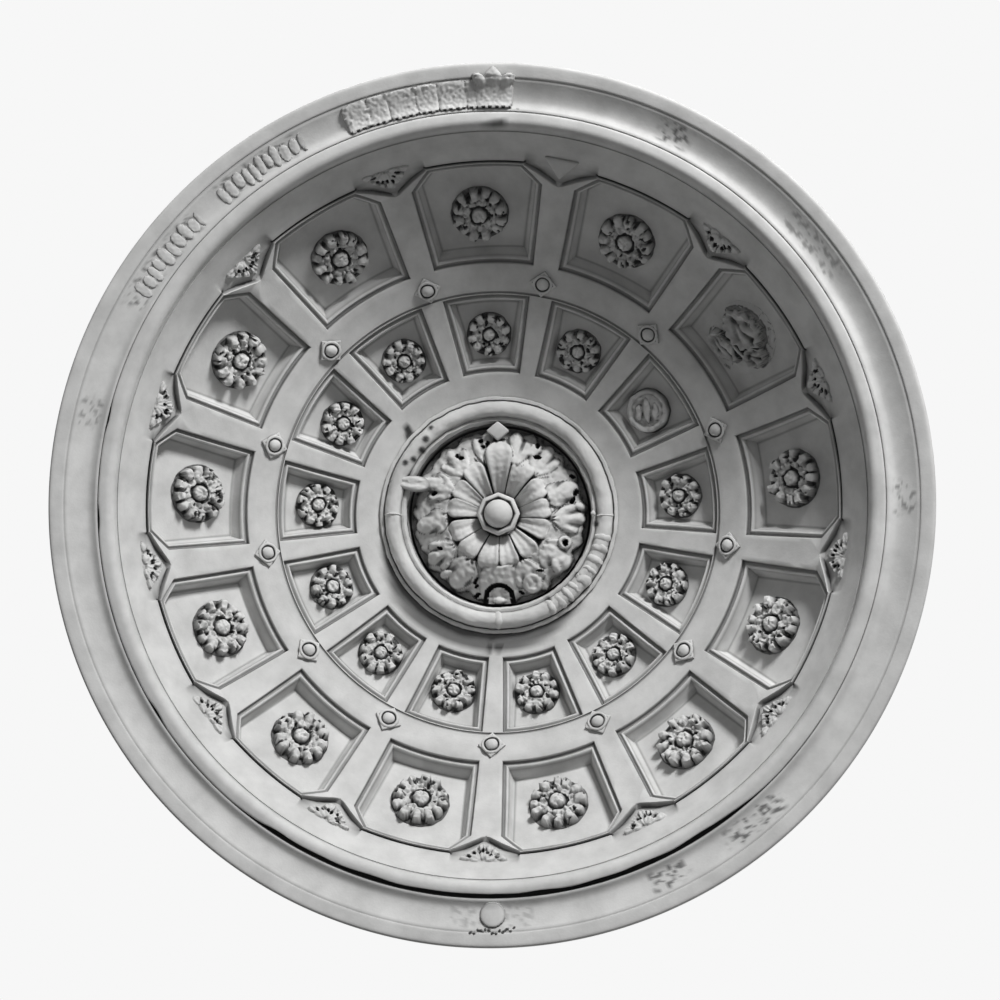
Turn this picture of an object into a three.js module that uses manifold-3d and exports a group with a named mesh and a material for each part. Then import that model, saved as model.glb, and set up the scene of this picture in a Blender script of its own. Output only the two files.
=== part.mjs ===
// Coffered ceiling dome in cast plaster
// Millimetres, +Z up, the mouth faces down, the origin is the middle of the ceiling opening
// Azimuths run from -Y towards +X, in degrees

import * as THREE from 'three';
import { mergeVertices } from 'three/addons/utils/BufferGeometryUtils.js';
import Module from 'manifold-3d';

const wasm = await Module();
wasm.setup();

// Division of the circle
const SECTORS = 13;
const SECTOR = 360 / SECTORS;
const SEGMENTS = SECTORS * 4;
const RIB_HALF_ANGLE = 3;
const RAD = Math.PI / 180;
const WELD_GRID = 1e4;

// The sectors run a little uneven round the bowl: a turn of all, and a swing that grows from one azimuth
const DRIFT_TURN = -0.9;
const DRIFT_SWING = 3.3;
const DRIFT_FROM = 37;

// Bowl: the rib faces lie on one sphere, which steepens into a smooth frieze above the lip
const BOWL_RADIUS = 1016;
const WALL = 26;
const FIELD_EDGE = 714;
const FRIEZE_CURVE = 250;
const FRIEZE_END_TILT = 65;
const FRIEZE_END_Z = -12;
const FRIEZE_STATIONS = [55, FRIEZE_END_TILT];

// Lip roll at the mouth and the flange behind it
const LIP_RADIUS = 778;
const LIP_Z = -27;
const LIP_ROLL = 20;
const LIP_ANGLES = [145, 195, 245, 300, 360];
const FLANGE_RADIUS = 856;
const FLANGE_THICK = 14;
const SHELL_BACK_RADIUS = 790;

// Crown: a round hollow for the flower, with a cone seat for the ring round it
const EYE_RADIUS = 200;
const EYE_DRAFT = 4;
const EYE_FLOOR_Z = 386;
const EYE_WALL = 24;
const SEAT_RADIUS = 252;

// Coffers, from and to as radii on the rib faces, corner as the cut at the two lower corners
const INNER_ROW = { from: 307, to: 469, corner: 0 };
const OUTER_ROW = { from: 528, to: 714, corner: 44 };
const RISER = 10;
const LEDGE = 8;
const FLOOR_DEPTH = 33;
const FLOOR_INSET = 26;
const CORNER_SHRINK = 2 - Math.SQRT2;

// Boxes on the back over the coffers
const BOX_FLARE = -9;
const BOX_DRAFT = 3;
const BOX_WALL = 18;

// Fit between separate pieces
const GAP = 0.3;
const JOINT = 4;
const REBATE_PLAY = 3;

// Cornice ring, sections as radius and height
const CORNICE_RADIUS = 900;
const CORNICE_INNER = LIP_RADIUS + LIP_ROLL + JOINT;
const CORNICE_FILLET = 7;
const CORNICE_FACE_Z = -38;
const COVE_BOTTOM = { r: 832, z: -20 };
const COVE_END = { r: 858, z: -36 };
const GROOVE_END = { r: 864, z: -32 };
const OUTER_ROLL = { r: 883, z: -30, radius: 17 };
const OUTER_ROLL_ANGLES = [165, 225, 285, 345];

// Worn leaf bands in the cove, as start and end azimuth and height of relief
const LEAF_BANDS = [
  [-20.7, -3.2, 14],
  [-41.4, -27, 9],
  [-60, -46, 8],
  [136, 146, 8],
  [151, 157, 8],
];
const BAND_FROM = 812;
const BAND_TO = 855;
const BAND_STEP = 3.5;
const BAND_HOLLOW = 0.45;
const BAND_ROOT_Z = -18;

// Palmettes in the cove, as azimuth and height of relief
const PALMETTES = [[0, 22], [90, 10], [180, 24], [270, 10]];
const PALMETTE_FOOT = 806;
const PALMETTE_TIP = 880;
const PALMETTE_HALF_WIDTH = 42;
const PALMETTE_EDGE_SHARE = 0.25;
const PALMETTE_OUTLINE = [
  [-0.4, 0], [0.4, 0], [1, 0.5], [0.6, 0.8], [0, 1], [-0.6, 0.8], [-1, 0.5],
];

// Ring round the crown, a half-round on a thin fillet
const RING_RADIUS = 224;
const RING_ROLL = 20;
const RING_FILLET = 5;
const RING_RISE = 10;
const RING_ANGLES = [190, 240, 300, 350];
const RING_SEGMENTS = SECTORS * 3;

// Crown flower, rings from the ball outwards to the back, each as crest then valley
// A crest or valley is a radius and a height below the eye floor
const PETALS = 13;
const FLOWER_RINGS = [
  [[10, 118], [10, 118]],
  [[27, 104], [27, 104]],
  [[34, 86], [34, 86]],
  [[48, 86], [48, 86]],
  [[50, 52], [50, 52]],
  [[88, 92], [86, 78]],
  [[116, 86], [110, 70]],
  [[130, 66], [110, 58]],
  [[106, 44], [104, 42]],
  [[146, 54], [150, 68]],
  [[166, 30], [190, 36]],
  [[150, 0], [150, 0]],
];

// Coffer rosettes
const ROSETTE_PETALS = 8;
const OUTER_ROSETTE = { radius: 63, edge: 9, swell: 18, height: 27 };
const INNER_ROSETTE = { radius: 49, edge: 8, swell: 15, height: 23 };
const VALLEY_SHARE = 0.8;
const VALLEY_DROP = 4;
const FOOT_SHARE = 0.95;
const BUTTON_SHARE = 0.3;
const ODD_SECTOR = 3;
const ODD_LOBES = 3;
const ODD_LOBE_VALLEY = 0.5;

// Plates and buttons on the rib crossings
const CROSSING_RADIUS = 498;
const PLATE_SIDES = 4;
const PLATE_HALF = 30;
const PLATE_THICK = 6;
const PLATE_BUTTON_RADIUS = 14;
const PLATE_BUTTON_HEIGHT = 15;
const PLATE_BUTTON_SIDES = 6;
const PLATE_BUTTON_TAPER = 0.8;

// Leaf brackets at the feet of the ribs
const BRACKET_TIP = 682;
const BRACKET_BASE = 742;
const BRACKET_HALF_WIDTH = 66;
const BRACKET_SHOULDER = 0.7;
const BRACKET_EDGE = 9;
const BRACKET_CREST = 18;
const BRACKET_SINK = 24;

// Finish of the cast plaster
const PLASTER = 0xd6d6d4;
const PLASTER_ROUGHNESS = 0.85;

// Angles, points and directions

const around = (r, angle) => [r * Math.cos(angle * RAD), r * Math.sin(angle * RAD)];
const tiltAt = (r) => Math.asin(r / BOWL_RADIUS) / RAD;

function polar(r, azimuth, z) {
  return new THREE.Vector3(r * Math.sin(azimuth * RAD), -r * Math.cos(azimuth * RAD), z);
}

function drifted(azimuth) {
  return azimuth + DRIFT_TURN + DRIFT_SWING * Math.sin((azimuth - DRIFT_FROM) * RAD);
}

const FIELD_TILT = tiltAt(FIELD_EDGE);
const FRIEZE_DROP = FRIEZE_CURVE * (Math.cos(FIELD_TILT * RAD) - Math.cos(FRIEZE_END_TILT * RAD));
const FIELD_EDGE_Z = FRIEZE_END_Z + FRIEZE_DROP;
const BOWL_CENTRE_Z = FIELD_EDGE_Z - BOWL_RADIUS * Math.cos(FIELD_TILT * RAD);

function bowlDirection(tilt, azimuth) {
  return polar(Math.sin(tilt * RAD), drifted(azimuth), Math.cos(tilt * RAD));
}

function fromBowlCentre(direction, distance) {
  const point = direction.clone().multiplyScalar(distance);
  point.z += BOWL_CENTRE_Z;
  return point;
}

// Solids from points and faces, turned right side out

function solid(points, faces) {
  let volume = 0;
  for (let i = 0; i < faces.length; i += 3) {
    const normal = points[faces[i + 1]].clone().cross(points[faces[i + 2]]);
    volume += points[faces[i]].dot(normal);
  }
  const triangles = volume < 0 ? faces.toReversed() : faces;
  return new wasm.Manifold(new wasm.Mesh({
    numProp: 3,
    vertProperties: new Float32Array(points.flatMap((p) => p.toArray())),
    triVerts: new Uint32Array(triangles),
  }));
}

function revolve(profile, segments = SEGMENTS) {
  const outline = profile.map(([r, z]) => new THREE.Vector2(r, z));
  const lathe = new THREE.LatheGeometry(outline, segments).rotateX(Math.PI / 2);
  lathe.deleteAttribute('normal');
  lathe.deleteAttribute('uv');
  const merged = mergeVertices(lathe);
  const place = merged.getAttribute('position');
  const points = [];
  for (let i = 0; i < place.count; i++) {
    points.push(new THREE.Vector3().fromBufferAttribute(place, i));
  }
  const faces = [];
  for (let i = 0; i < merged.index.count; i += 3) {
    const face = Array.from(merged.index.array.slice(i, i + 3));
    if (new Set(face).size === 3) {
      faces.push(...face);
    }
  }
  return solid(points, faces);
}

// Joins loose triangles at their shared corners
function weld(triangles) {
  const order = new Map();
  const points = [];
  const faces = [];
  for (const triangle of triangles) {
    const face = triangle.map((point) => {
      const key = point.toArray().map((value) => Math.round(value * WELD_GRID)).join();
      if (!order.has(key)) {
        order.set(key, points.length);
        points.push(point);
      }
      return order.get(key);
    });
    if (new Set(face).size === 3) {
      faces.push(...face);
    }
  }
  return solid(points, faces);
}

function addQuad(triangles, a, b, c, d) {
  triangles.push([a, b, c], [a, c, d]);
}

function addFan(triangles, loop) {
  for (let i = 1; i + 1 < loop.length; i++) {
    triangles.push([loop[0], loop[i], loop[i + 1]]);
  }
}

// Walls from loop to loop, closed at the last one
function addPocket(triangles, loops) {
  for (let k = 0; k + 1 < loops.length; k++) {
    const [outer, inner] = [loops[k], loops[k + 1]];
    outer.forEach((point, i) => {
      const j = (i + 1) % outer.length;
      addQuad(triangles, point, outer[j], inner[j], inner[i]);
    });
  }
  addFan(triangles, loops.at(-1));
}

function loft(loops) {
  const triangles = [];
  addPocket(triangles, loops);
  addFan(triangles, loops[0].toReversed());
  return weld(triangles);
}

// A loft that ends in a point
function peaked(loops, peak) {
  return loft([...loops, loops.at(-1).map(() => peak)]);
}

// Places a solid modelled on the XY plane, facing +Z, at a point of the bowl, facing the room
function faceRoom(shape, tilt, azimuth, distance) {
  const out = bowlDirection(tilt, azimuth);
  const up = bowlDirection(tilt - 90, azimuth);
  const inward = out.clone().negate();
  const side = up.clone().cross(inward);
  const frame = new THREE.Matrix4().makeBasis(side, up, inward);
  frame.setPosition(fromBowlCentre(out, distance));
  return shape.transform(frame.toArray());
}

// Bowl, described by lines: each is a point of the section with the turns of its corners in one sector

const EVEN_TURNS = [-0.5, -0.25, 0, 0.25, 0.5].map((share) => share * SECTOR);
const ribTurns = (half) => [-SECTOR / 2, -half, 0, half, SECTOR / 2];

function bowlSection(tilt, offset) {
  const reach = BOWL_RADIUS + offset;
  return [reach * Math.sin(tilt * RAD), BOWL_CENTRE_Z + reach * Math.cos(tilt * RAD)];
}

function friezeSection(tilt, offset) {
  const r = FIELD_EDGE + FRIEZE_CURVE * (Math.sin(tilt * RAD) - Math.sin(FIELD_TILT * RAD));
  const z = FIELD_EDGE_Z - FRIEZE_CURVE * (Math.cos(FIELD_TILT * RAD) - Math.cos(tilt * RAD));
  return [r + offset * Math.sin(tilt * RAD), z + offset * Math.cos(tilt * RAD)];
}

// Lines across a coffer from head to foot, as tilt and half angle, drawn in by inset
function cofferLines(row, inset) {
  const head = tiltAt(row.from) + inset / BOWL_RADIUS / RAD;
  const foot = tiltAt(row.to) - inset / BOWL_RADIUS / RAD;
  const half = (r) => SECTOR / 2 - RIB_HALF_ANGLE - inset / r / RAD;
  if (row.corner === 0) {
    return [[head, half(row.from)], [foot, half(row.to)]];
  }
  const corner = row.corner - CORNER_SHRINK * inset;
  const knee = foot - corner / BOWL_RADIUS / RAD;
  return [
    [head, half(row.from)],
    [knee, half(row.to)],
    [foot, half(row.to) - corner / row.to / RAD],
  ];
}

function cofferLoop(row, inset) {
  const lines = cofferLines(row, inset);
  const left = lines.map(([tilt, half]) => [tilt, -half]);
  const right = lines.map(([tilt, half]) => [tilt, half]).toReversed();
  return [...left, [lines.at(-1)[0], 0], ...right, [lines[0][0], 0]];
}

const middleTilt = (row) => (tiltAt(row.from) + tiltAt(row.to)) / 2;

function loopOnSphere(row, azimuth, inset, depth) {
  return cofferLoop(row, inset).map(([tilt, turn]) => (
    fromBowlCentre(bowlDirection(tilt, azimuth + turn), BOWL_RADIUS + depth)
  ));
}

function loopOnPlane(row, azimuth, inset, depth) {
  const axis = bowlDirection(middleTilt(row), azimuth);
  return cofferLoop(row, inset).map(([tilt, turn]) => {
    const ray = bowlDirection(tilt, azimuth + turn);
    return fromBowlCentre(ray, (BOWL_RADIUS + depth) / ray.dot(axis));
  });
}

function cofferHollow(row, azimuth) {
  return [
    loopOnSphere(row, azimuth, 0, 0),
    loopOnSphere(row, azimuth, 0, RISER),
    loopOnSphere(row, azimuth, LEDGE, RISER),
    loopOnPlane(row, azimuth, FLOOR_INSET, FLOOR_DEPTH),
  ];
}

function cofferBox(row, azimuth) {
  return [
    loopOnSphere(row, azimuth, BOX_FLARE, WALL).toReversed(),
    loopOnPlane(row, azimuth, BOX_DRAFT, FLOOR_DEPTH + BOX_WALL).toReversed(),
  ];
}

// Lines of a coffer row; the surface between them is left open for the hollow or box
function rowLines(row, inset, offset) {
  return cofferLines(row, inset).map(([tilt, half]) => ({
    section: bowlSection(tilt, offset),
    turns: ribTurns(half),
    open: true,
  }));
}

function closeLast(lines) {
  return [...lines.slice(0, -1), { ...lines.at(-1), open: false }];
}

const FOOT_TURNS = ribTurns(cofferLines(OUTER_ROW, 0).at(-1)[1]);
const plainLines = (sections, turns) => sections.map((section) => ({ section, turns }));

function faceLines(offset) {
  return [
    ...plainLines([bowlSection(tiltAt(SEAT_RADIUS), offset)], EVEN_TURNS),
    ...closeLast(rowLines(INNER_ROW, 0, offset)),
    ...closeLast(rowLines(OUTER_ROW, 0, offset)),
    ...plainLines(FRIEZE_STATIONS.map((tilt) => friezeSection(tilt, offset)), FOOT_TURNS),
  ];
}

function lipSections() {
  return LIP_ANGLES.map((angle) => {
    const [dr, dz] = around(LIP_ROLL, angle);
    return [LIP_RADIUS + dr, LIP_Z + dz];
  });
}

function shellLines() {
  const bossRadius = EYE_RADIUS + EYE_WALL;
  const bossTop = EYE_FLOOR_Z + EYE_WALL;
  const seatBack = bowlSection(tiltAt(SEAT_RADIUS), WALL);
  const eye = [
    [0, EYE_FLOOR_Z],
    [EYE_RADIUS - EYE_DRAFT, EYE_FLOOR_Z],
    bowlSection(tiltAt(EYE_RADIUS), 0),
  ];
  const mouth = [
    ...lipSections(),
    [LIP_RADIUS + LIP_ROLL, -FLANGE_THICK],
    [FLANGE_RADIUS, -FLANGE_THICK],
    [FLANGE_RADIUS, 0],
    [SHELL_BACK_RADIUS, 0],
    friezeSection(FRIEZE_STATIONS[0], WALL),
  ];
  return [
    ...plainLines(eye, EVEN_TURNS),
    ...faceLines(0),
    ...plainLines(mouth, FOOT_TURNS),
    ...closeLast(rowLines(OUTER_ROW, BOX_FLARE, WALL).toReversed()),
    ...closeLast(rowLines(INNER_ROW, BOX_FLARE, WALL).toReversed()),
    ...plainLines([seatBack, [bossRadius, bossTop], [0, bossTop]], EVEN_TURNS),
  ];
}

// Surface through the lines in one sector, without the middle of the open stretches
function addBands(triangles, lines, azimuth, keepOpen) {
  const corners = lines.map(({ section, turns }) => (
    turns.map((turn) => polar(section[0], drifted(azimuth + turn), section[1]))
  ));
  for (let i = 0; i + 1 < lines.length; i++) {
    const columns = keepOpen && lines[i].open ? [0, 3] : [0, 1, 2, 3];
    for (const c of columns) {
      addQuad(triangles, corners[i][c], corners[i + 1][c], corners[i + 1][c + 1], corners[i][c + 1]);
    }
  }
}

function domeShell() {
  const triangles = [];
  const lines = shellLines();
  for (let k = 0; k < SECTORS; k++) {
    addBands(triangles, lines, k * SECTOR, true);
    for (const row of [INNER_ROW, OUTER_ROW]) {
      addPocket(triangles, cofferHollow(row, k * SECTOR));
      addPocket(triangles, cofferBox(row, k * SECTOR));
    }
  }
  return weld(triangles);
}

// Space inside the bowl, drawn in by the fitting gap, which trims what is planted on the ribs
function room() {
  const face = faceLines(-GAP);
  const head = [0, face[0].section[1]];
  const foot = [[face.at(-1).section[0], LIP_Z], [0, LIP_Z]];
  const lines = [...plainLines([head], EVEN_TURNS), ...face, ...plainLines(foot, FOOT_TURNS)];
  const triangles = [];
  for (let k = 0; k < SECTORS; k++) {
    addBands(triangles, lines, k * SECTOR, false);
  }
  return weld(triangles);
}

// Cornice

function corniceSection() {
  const roll = OUTER_ROLL_ANGLES.map((angle) => {
    const [dr, dz] = around(OUTER_ROLL.radius, angle);
    return [OUTER_ROLL.r + dr, OUTER_ROLL.z + dz];
  });
  const rebate = FLANGE_RADIUS + REBATE_PLAY;
  const seat = -FLANGE_THICK - GAP;
  const start = [rebate, 0];
  return [
    start,
    [rebate, seat],
    [CORNICE_INNER, seat],
    [CORNICE_INNER, CORNICE_FACE_Z],
    [CORNICE_INNER + CORNICE_FILLET, CORNICE_FACE_Z],
    [COVE_BOTTOM.r, COVE_BOTTOM.z],
    [COVE_END.r, COVE_END.z],
    [GROOVE_END.r, GROOVE_END.z],
    ...roll,
    [CORNICE_RADIUS, 0],
    start,
  ];
}

// A raised band of leaves following the cove between two azimuths
function leafBand(from, to, relief) {
  const steps = Math.max(1, Math.round((to - from) / BAND_STEP));
  const loops = [];
  for (let i = 0; i <= steps; i++) {
    const azimuth = from + ((to - from) * i) / steps;
    const crest = i % 2 === 0 ? relief * BAND_HOLLOW : relief;
    loops.push([
      polar(BAND_FROM, azimuth, BAND_ROOT_Z),
      polar(BAND_TO, azimuth, BAND_ROOT_Z),
      polar(BAND_TO, azimuth, COVE_END.z),
      polar((BAND_FROM + BAND_TO) / 2, azimuth, COVE_BOTTOM.z - crest),
      polar(BAND_FROM, azimuth, CORNICE_FACE_Z),
    ]);
  }
  return loft(loops);
}

// A fan of three lobes standing in the cove, foot towards the mouth
function palmette(azimuth, relief) {
  const height = PALMETTE_TIP - PALMETTE_FOOT;
  const loop = (z) => PALMETTE_OUTLINE.map(([across, up]) => {
    const r = PALMETTE_FOOT + up * height;
    return polar(r, azimuth + (across * PALMETTE_HALF_WIDTH) / r / RAD, z);
  });
  const peak = polar(PALMETTE_FOOT + height / 2, azimuth, CORNICE_FACE_Z - relief);
  const edge = CORNICE_FACE_Z - relief * PALMETTE_EDGE_SHARE;
  return peaked([loop(BAND_ROOT_Z), loop(edge)], peak);
}

function rimCornice() {
  let cornice = revolve(corniceSection());
  for (const [from, to, relief] of LEAF_BANDS) {
    cornice = cornice.add(leafBand(from, to, relief));
  }
  for (const [azimuth, relief] of PALMETTES) {
    cornice = cornice.add(palmette(azimuth, relief));
  }
  return cornice;
}

// Ring and flower at the crown

function medallionRing() {
  const seatInner = bowlSection(tiltAt(EYE_RADIUS), -GAP);
  const seatOuter = bowlSection(tiltAt(SEAT_RADIUS), -GAP);
  const share = (RING_RADIUS - seatInner[0]) / (seatOuter[0] - seatInner[0]);
  const middleZ = seatInner[1] + share * (seatOuter[1] - seatInner[1]) - RING_RISE;
  const roll = RING_ANGLES.map((angle) => {
    const [dr, dz] = around(RING_ROLL, angle);
    return [RING_RADIUS + dr, middleZ + dz];
  });
  return revolve([
    seatInner,
    ...roll,
    [seatOuter[0], seatOuter[1] - RING_FILLET],
    seatOuter,
    seatInner,
  ], RING_SEGMENTS);
}

function medallionFlower() {
  const count = PETALS * 2;
  return loft(FLOWER_RINGS.map((ring) => {
    const points = [];
    for (let i = 0; i < count; i++) {
      const [r, drop] = ring[i % 2];
      points.push(polar(r, (i * 360) / count, EYE_FLOOR_Z - Math.max(drop, GAP)));
    }
    return points;
  }));
}

// Planted ornaments, each modelled facing +Z with its back on the XY plane

function ringOfPoints(count, radiusAt, heightAt) {
  const points = [];
  for (let i = 0; i < count; i++) {
    const [x, y] = around(radiusAt(i), 90 + (i * 360) / count);
    points.push(new THREE.Vector3(x, y, heightAt(i)));
  }
  return points;
}

// A ring with one point over each valley, doubled to match a lobed edge
function valleyRing(lobes, radius, height) {
  const points = [];
  for (let i = 0; i < lobes; i++) {
    const [x, y] = around(radius, 90 + ((i + 0.5) * 360) / lobes);
    points.push(new THREE.Vector3(x, y, height));
  }
  return points.flatMap((point, i) => [points.at(i - 1), point]);
}

// Lobed edge standing over a narrower foot and rising to a pointed button
function rosette(size, lobes, valley) {
  const reach = (i) => size.radius * (i % 2 === 0 ? 1 : valley);
  const edge = (i) => size.edge - (i % 2 === 0 ? 0 : VALLEY_DROP);
  return peaked([
    valleyRing(lobes, size.radius * valley * FOOT_SHARE, 0),
    ringOfPoints(lobes * 2, reach, edge),
    valleyRing(lobes, size.radius * BUTTON_SHARE, size.swell),
  ], new THREE.Vector3(0, 0, size.height));
}

function rosetteFor(row, sector) {
  const size = row === OUTER_ROW ? OUTER_ROSETTE : INNER_ROSETTE;
  if (sector !== ODD_SECTOR) {
    return rosette(size, ROSETTE_PETALS, VALLEY_SHARE);
  }
  return row === OUTER_ROW ? rosette(size, ODD_LOBES, ODD_LOBE_VALLEY) : rosette(size, ROSETTE_PETALS, 1);
}

function placeRosette(row, sector) {
  const azimuth = (sector - 1) * SECTOR;
  const distance = BOWL_RADIUS + FLOOR_DEPTH - GAP;
  return faceRoom(rosetteFor(row, sector), middleTilt(row), azimuth, distance);
}

function ribButton(sector, space) {
  const diamond = (z) => ringOfPoints(PLATE_SIDES, () => PLATE_HALF, () => z);
  const round = (share, z) => (
    ringOfPoints(PLATE_BUTTON_SIDES, () => PLATE_BUTTON_RADIUS * share, () => z)
  );
  const plate = loft([diamond(-PLATE_THICK), diamond(PLATE_THICK)]);
  const button = loft([round(1, 0), round(PLATE_BUTTON_TAPER, PLATE_BUTTON_HEIGHT)]);
  const azimuth = (sector - 0.5) * SECTOR;
  const shape = plate.add(button);
  return faceRoom(shape, tiltAt(CROSSING_RADIUS), azimuth, BOWL_RADIUS).intersect(space);
}

// A leaf bracket with its point towards the crown, cut to the curve of rib and frieze behind it
function spandrelLeaf(sector, space) {
  const tilt = FIELD_TILT;
  const up = (FIELD_EDGE - BRACKET_TIP) / Math.cos(tilt * RAD);
  const down = (BRACKET_BASE - FIELD_EDGE) / Math.cos(tilt * RAD);
  const outline = [[0, up], [-BRACKET_HALF_WIDTH, -down * BRACKET_SHOULDER], [0, -down],
    [BRACKET_HALF_WIDTH, -down * BRACKET_SHOULDER]];
  const loop = (z) => outline.map(([x, y]) => new THREE.Vector3(x, y, z));
  const leaf = peaked([loop(-BRACKET_SINK), loop(BRACKET_EDGE)], new THREE.Vector3(0, 0, BRACKET_CREST));
  return faceRoom(leaf, tilt, (sector - 0.5) * SECTOR, BOWL_RADIUS).intersect(space);
}

// Assembly

function piece(name, shape) {
  const mesh = shape.getMesh();
  const geometry = new THREE.BufferGeometry();
  geometry.setAttribute('position', new THREE.BufferAttribute(new Float32Array(mesh.vertProperties), 3));
  geometry.setIndex(new THREE.BufferAttribute(new Uint32Array(mesh.triVerts), 1));
  geometry.computeVertexNormals();
  const material = new THREE.MeshStandardMaterial({
    color: PLASTER,
    roughness: PLASTER_ROUGHNESS,
    metalness: 0,
  });
  const node = new THREE.Mesh(geometry, material);
  node.name = name;
  return node;
}

function ceilingDome() {
  const dome = new THREE.Group();
  const space = room();
  dome.add(piece('dome_shell', domeShell()));
  dome.add(piece('rim_cornice', rimCornice()));
  dome.add(piece('medallion_ring', medallionRing()));
  dome.add(piece('medallion_flower', medallionFlower()));
  for (let sector = 1; sector <= SECTORS; sector++) {
    const number = String(sector).padStart(2, '0');
    dome.add(piece(`outer_rosette_${number}`, placeRosette(OUTER_ROW, sector)));
    dome.add(piece(`inner_rosette_${number}`, placeRosette(INNER_ROW, sector)));
    dome.add(piece(`rib_button_${number}`, ribButton(sector, space)));
    dome.add(piece(`spandrel_leaf_${number}`, spandrelLeaf(sector, space)));
  }
  return dome;
}

export default ceilingDome();
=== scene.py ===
"""Coffered ceiling dome in cast plaster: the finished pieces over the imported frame, and the studio round them."""

import math
import random

import bmesh
import bpy
import numpy as np
from mathutils import Matrix, Vector, noise


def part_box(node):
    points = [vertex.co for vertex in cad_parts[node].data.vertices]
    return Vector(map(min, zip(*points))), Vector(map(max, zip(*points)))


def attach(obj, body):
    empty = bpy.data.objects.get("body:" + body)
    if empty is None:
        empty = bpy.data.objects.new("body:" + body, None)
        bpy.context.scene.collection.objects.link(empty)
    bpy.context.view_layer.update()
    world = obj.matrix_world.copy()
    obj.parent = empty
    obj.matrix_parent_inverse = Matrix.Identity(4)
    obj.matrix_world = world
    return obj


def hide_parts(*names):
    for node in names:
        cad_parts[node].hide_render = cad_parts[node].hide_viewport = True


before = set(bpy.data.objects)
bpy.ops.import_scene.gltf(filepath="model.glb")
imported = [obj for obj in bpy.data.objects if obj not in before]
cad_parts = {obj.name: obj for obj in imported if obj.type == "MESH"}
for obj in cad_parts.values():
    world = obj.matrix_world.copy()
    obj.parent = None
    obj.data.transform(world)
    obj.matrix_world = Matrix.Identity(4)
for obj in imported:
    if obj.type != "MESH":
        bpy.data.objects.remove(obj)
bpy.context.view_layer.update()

bl_info = {
    "name": "Coffered Ceiling Dome",
    "version": (1, 0, 0),
    "blender": (4, 5, 0),
    "location": "View3D > Sidebar > Dome",
    "description": "Builds a cast plaster ceiling dome with coffers, planted flowers and a worn cornice",
    "category": "Add Mesh",
}

# Division of the circle; azimuths run from -Y towards +X, in degrees
SECTORS = sum(name.startswith("outer_rosette_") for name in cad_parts)
SECTOR = 360 / SECTORS
RIM_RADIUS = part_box("rim_cornice")[1].x
DRIFT_TURN = -0.9
DRIFT_SWING = 3.3
DRIFT_FROM = 37

# Bowl in metres: ribs on one sphere, a frieze that steepens to the lip, an eye at the crown
WALL = 0.026
FRIEZE_CURVE = 0.25
FRIEZE_END_TILT = 65
FRIEZE_END_Z = -0.012
FRIEZE_STEPS = 12
LIP = {"r": 0.778, "roll": 0.020}
FLANGE = {"r": 0.856, "thick": 0.014, "inner": 0.790}
EYE = {"r": 0.200, "draft": 0.004, "floor": 0.386, "wall": 0.024}
SEAT_RADIUS = 0.252

# Rows of coffers, as radii of head and foot on the rib faces and the cut at the foot corners
INNER_ROW = {"from": 0.307, "to": 0.469, "corner": 0.0, "name": "inner", "flower_rise": 0.008}
OUTER_ROW = {"from": 0.528, "to": 0.714, "corner": 0.044, "name": "outer", "flower_rise": 0.014}
CORNER_SHRINK = 2 - math.sqrt(2)

FLOOR_EASE = 0.004

# Columns and stations of the bowl's mesh in one sector
COFFER_COLUMNS = 12
SIDE_STATIONS = 9
CORNER_SHARES = (0.05, 0.14, 0.30, 0.48, 0.66, 0.84, 1.0)
COLUMNS = COFFER_COLUMNS + 12
GROOVE = 0.0064

# Distances within which doubled points become one
MERGE = 0.00002
FINE_MERGE = 0.00001
FINEST_MERGE = 0.000005

# Fixes the offsets of the noise vectors, which otherwise change with the time of day
WEAR_SEED = 1795620213

# Coffer moulding: the riser as inset, share of its depth and painted shade; then a bead and the slope, as shares of the
# way across and down from the ledge to the floor, and painted shade; then the box behind it as inset and depth in mm,
# and flatness
RISER_STEPS = ((0.0, 0.0, 0.0), (0.0008, 0.06, 0.0), (0.0014, 0.18, 0.15), (0.0020, 0.5, 0.55), (0.0026, 0.86, 0.7),
               (0.0046, 1.0, 0.65), (0.0058, 1.04, 0.3))
SLOPE_STEPS = ((0.03, -0.05, 0.1), (0.10, -0.14, 0.0), (0.18, -0.18, 0.0), (0.27, -0.18, 0.0), (0.35, -0.12, 0.0),
               (0.39, 0.0, 0.2), (0.42, 0.11, 0.35), (0.47, 0.19, 0.15), (0.58, 0.44, 0.0), (0.74, 0.80, 0.0),
               (0.86, 0.95, 0.10), (0.94, 0.99, 0.40), (1.0, 1.0, 0.45))
BOX_STEPS = ((-9, 26, 0), (-7.6, 26.5, 0), (-6.0, 28.5, 0.1), (-4.4, 33, 0.3), (0, 45, 0.8), (1.2, 48.6, 0.95),
             (3, 50.6, 1), (6, 51, 1))


# Angles, points and directions

def azimuth_with_drift(azimuth):
    """Sectors run a little uneven round the bowl."""
    return azimuth + DRIFT_TURN + DRIFT_SWING * math.sin(math.radians(azimuth - DRIFT_FROM))


def polar(r, azimuth, z):
    a = math.radians(azimuth)
    return Vector((r * math.sin(a), -r * math.cos(a), z))


def plan_of(point):
    """Radius and azimuth of a point."""
    return math.hypot(point.x, point.y), math.degrees(math.atan2(point.x, -point.y))


def apart(first, second):
    """Angle between two azimuths."""
    return abs((first - second + 180) % 360 - 180)


def on_circle(r, angle):
    return r * math.cos(angle), r * math.sin(angle)


def mix(a, b, share):
    return a + (b - a) * share


def smooth(value):
    value = min(1.0, max(0.0, value))
    return value * value * (3 - 2 * value)


def linear(code):
    """An sRGB hex colour as linear red, green and blue."""
    parts = [int(code[i:i + 2], 16) / 255 for i in (0, 2, 4)]
    return [c / 12.92 if c <= 0.04045 else ((c + 0.055) / 1.055) ** 2.4 for c in parts]


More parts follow.
